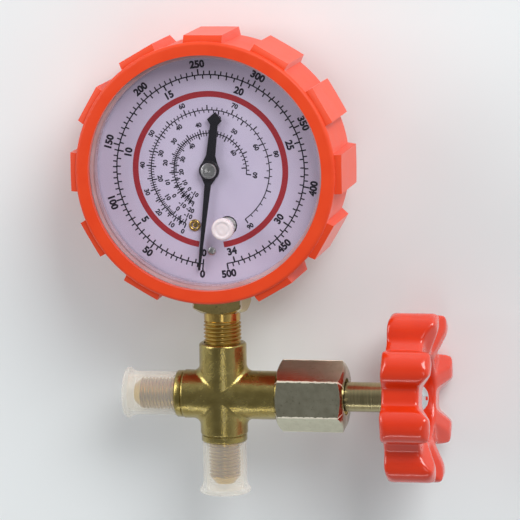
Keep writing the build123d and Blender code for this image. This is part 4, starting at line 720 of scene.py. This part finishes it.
# The room: pale all round, darker towards the reader's side so that bright metal has something to reflect
world = bpy.data.worlds.new("room")
bpy.context.scene.world = world
world.use_nodes = True
world.node_tree.nodes.clear()
direction = add(world, "ShaderNodeTexCoord").outputs["Generated"]
facing = add(world, "ShaderNodeVectorMath", {0: direction, 1: (-0.2, -0.96, -0.2)}, operation="DOT_PRODUCT")
level = add(world, "ShaderNodeMapRange", {
    "Value": facing.outputs["Value"], "From Min": 0.0, "From Max": 0.9, "To Min": 0.85, "To Max": 0.23})
seen = add(world, "ShaderNodeLightPath").outputs["Is Camera Ray"]
strength = add(world, "ShaderNodeMix", {0: seen, 2: level.outputs[0], 3: 0.86})
room = add(world, "ShaderNodeBackground", {"Color": hexed("#f1f2f5"), "Strength": strength.outputs[0]})
add(world, "ShaderNodeOutputWorld", {"Surface": room.outputs[0]})


def sheet(name, matrix, finish):
    """A flat sheet, six metres square."""
    shape = bmesh.new()
    bmesh.ops.create_grid(shape, x_segments=1, y_segments=1, size=3.0, matrix=matrix)
    mesh = bpy.data.meshes.new(name)
    shape.to_mesh(mesh)
    shape.free()
    stage_piece = bpy.data.objects.new(name, mesh)
    bpy.context.scene.collection.objects.link(stage_piece)
    mesh.materials.append(finish)


# The pale paper that the gauge lies on, faintly clouded, and seen from above. From behind it is clear, and it
# lets the room's light by
paper, where = new_finish("pale_paper")
cloud = add(paper, "ShaderNodeTexNoise", {"Vector": where, "Scale": per_mm(166.7), "Detail": 2.0})
tone = add(paper, "ShaderNodeMix", {0: cloud.outputs["Fac"], 6: hexed("#e6ebec"), 7: hexed("#eef2f2")},
           data_type="RGBA")
matt = add(paper, "ShaderNodeBsdfDiffuse", {"Color": tone.outputs[2]})
ray = add(paper, "ShaderNodeLightPath")
seen = ray.outputs["Is Camera Ray"]
for kind in ("Is Glossy Ray", "Is Transmission Ray", "Is Diffuse Ray"):
    seen = add(paper, "ShaderNodeMath", {0: seen, 1: ray.outputs[kind]}, operation="MAXIMUM").outputs[0]
behind = add(paper, "ShaderNodeNewGeometry").outputs["Backfacing"]
before = add(paper, "ShaderNodeMath", {0: 1.0, 1: behind}, operation="SUBTRACT")
solid = add(paper, "ShaderNodeMath", {0: seen, 1: before.outputs[0]}, operation="MULTIPLY")
clear = add(paper, "ShaderNodeBsdfTransparent")
surface = add(paper, "ShaderNodeMixShader", {0: solid.outputs[0], 1: clear.outputs[0], 2: matt.outputs[0]})
add(paper, "ShaderNodeOutputMaterial", {"Surface": surface.outputs[0]})

facing_reader = Vector((0.1, -1.0, -0.106)).normalized().to_track_quat("Z", "X").to_matrix().to_4x4()
sheet("floor", Matrix.Translation((-0.033, 0.0106, 0.136)) @ facing_reader, paper)
bpy.context.scene.view_settings.view_transform = "Standard"
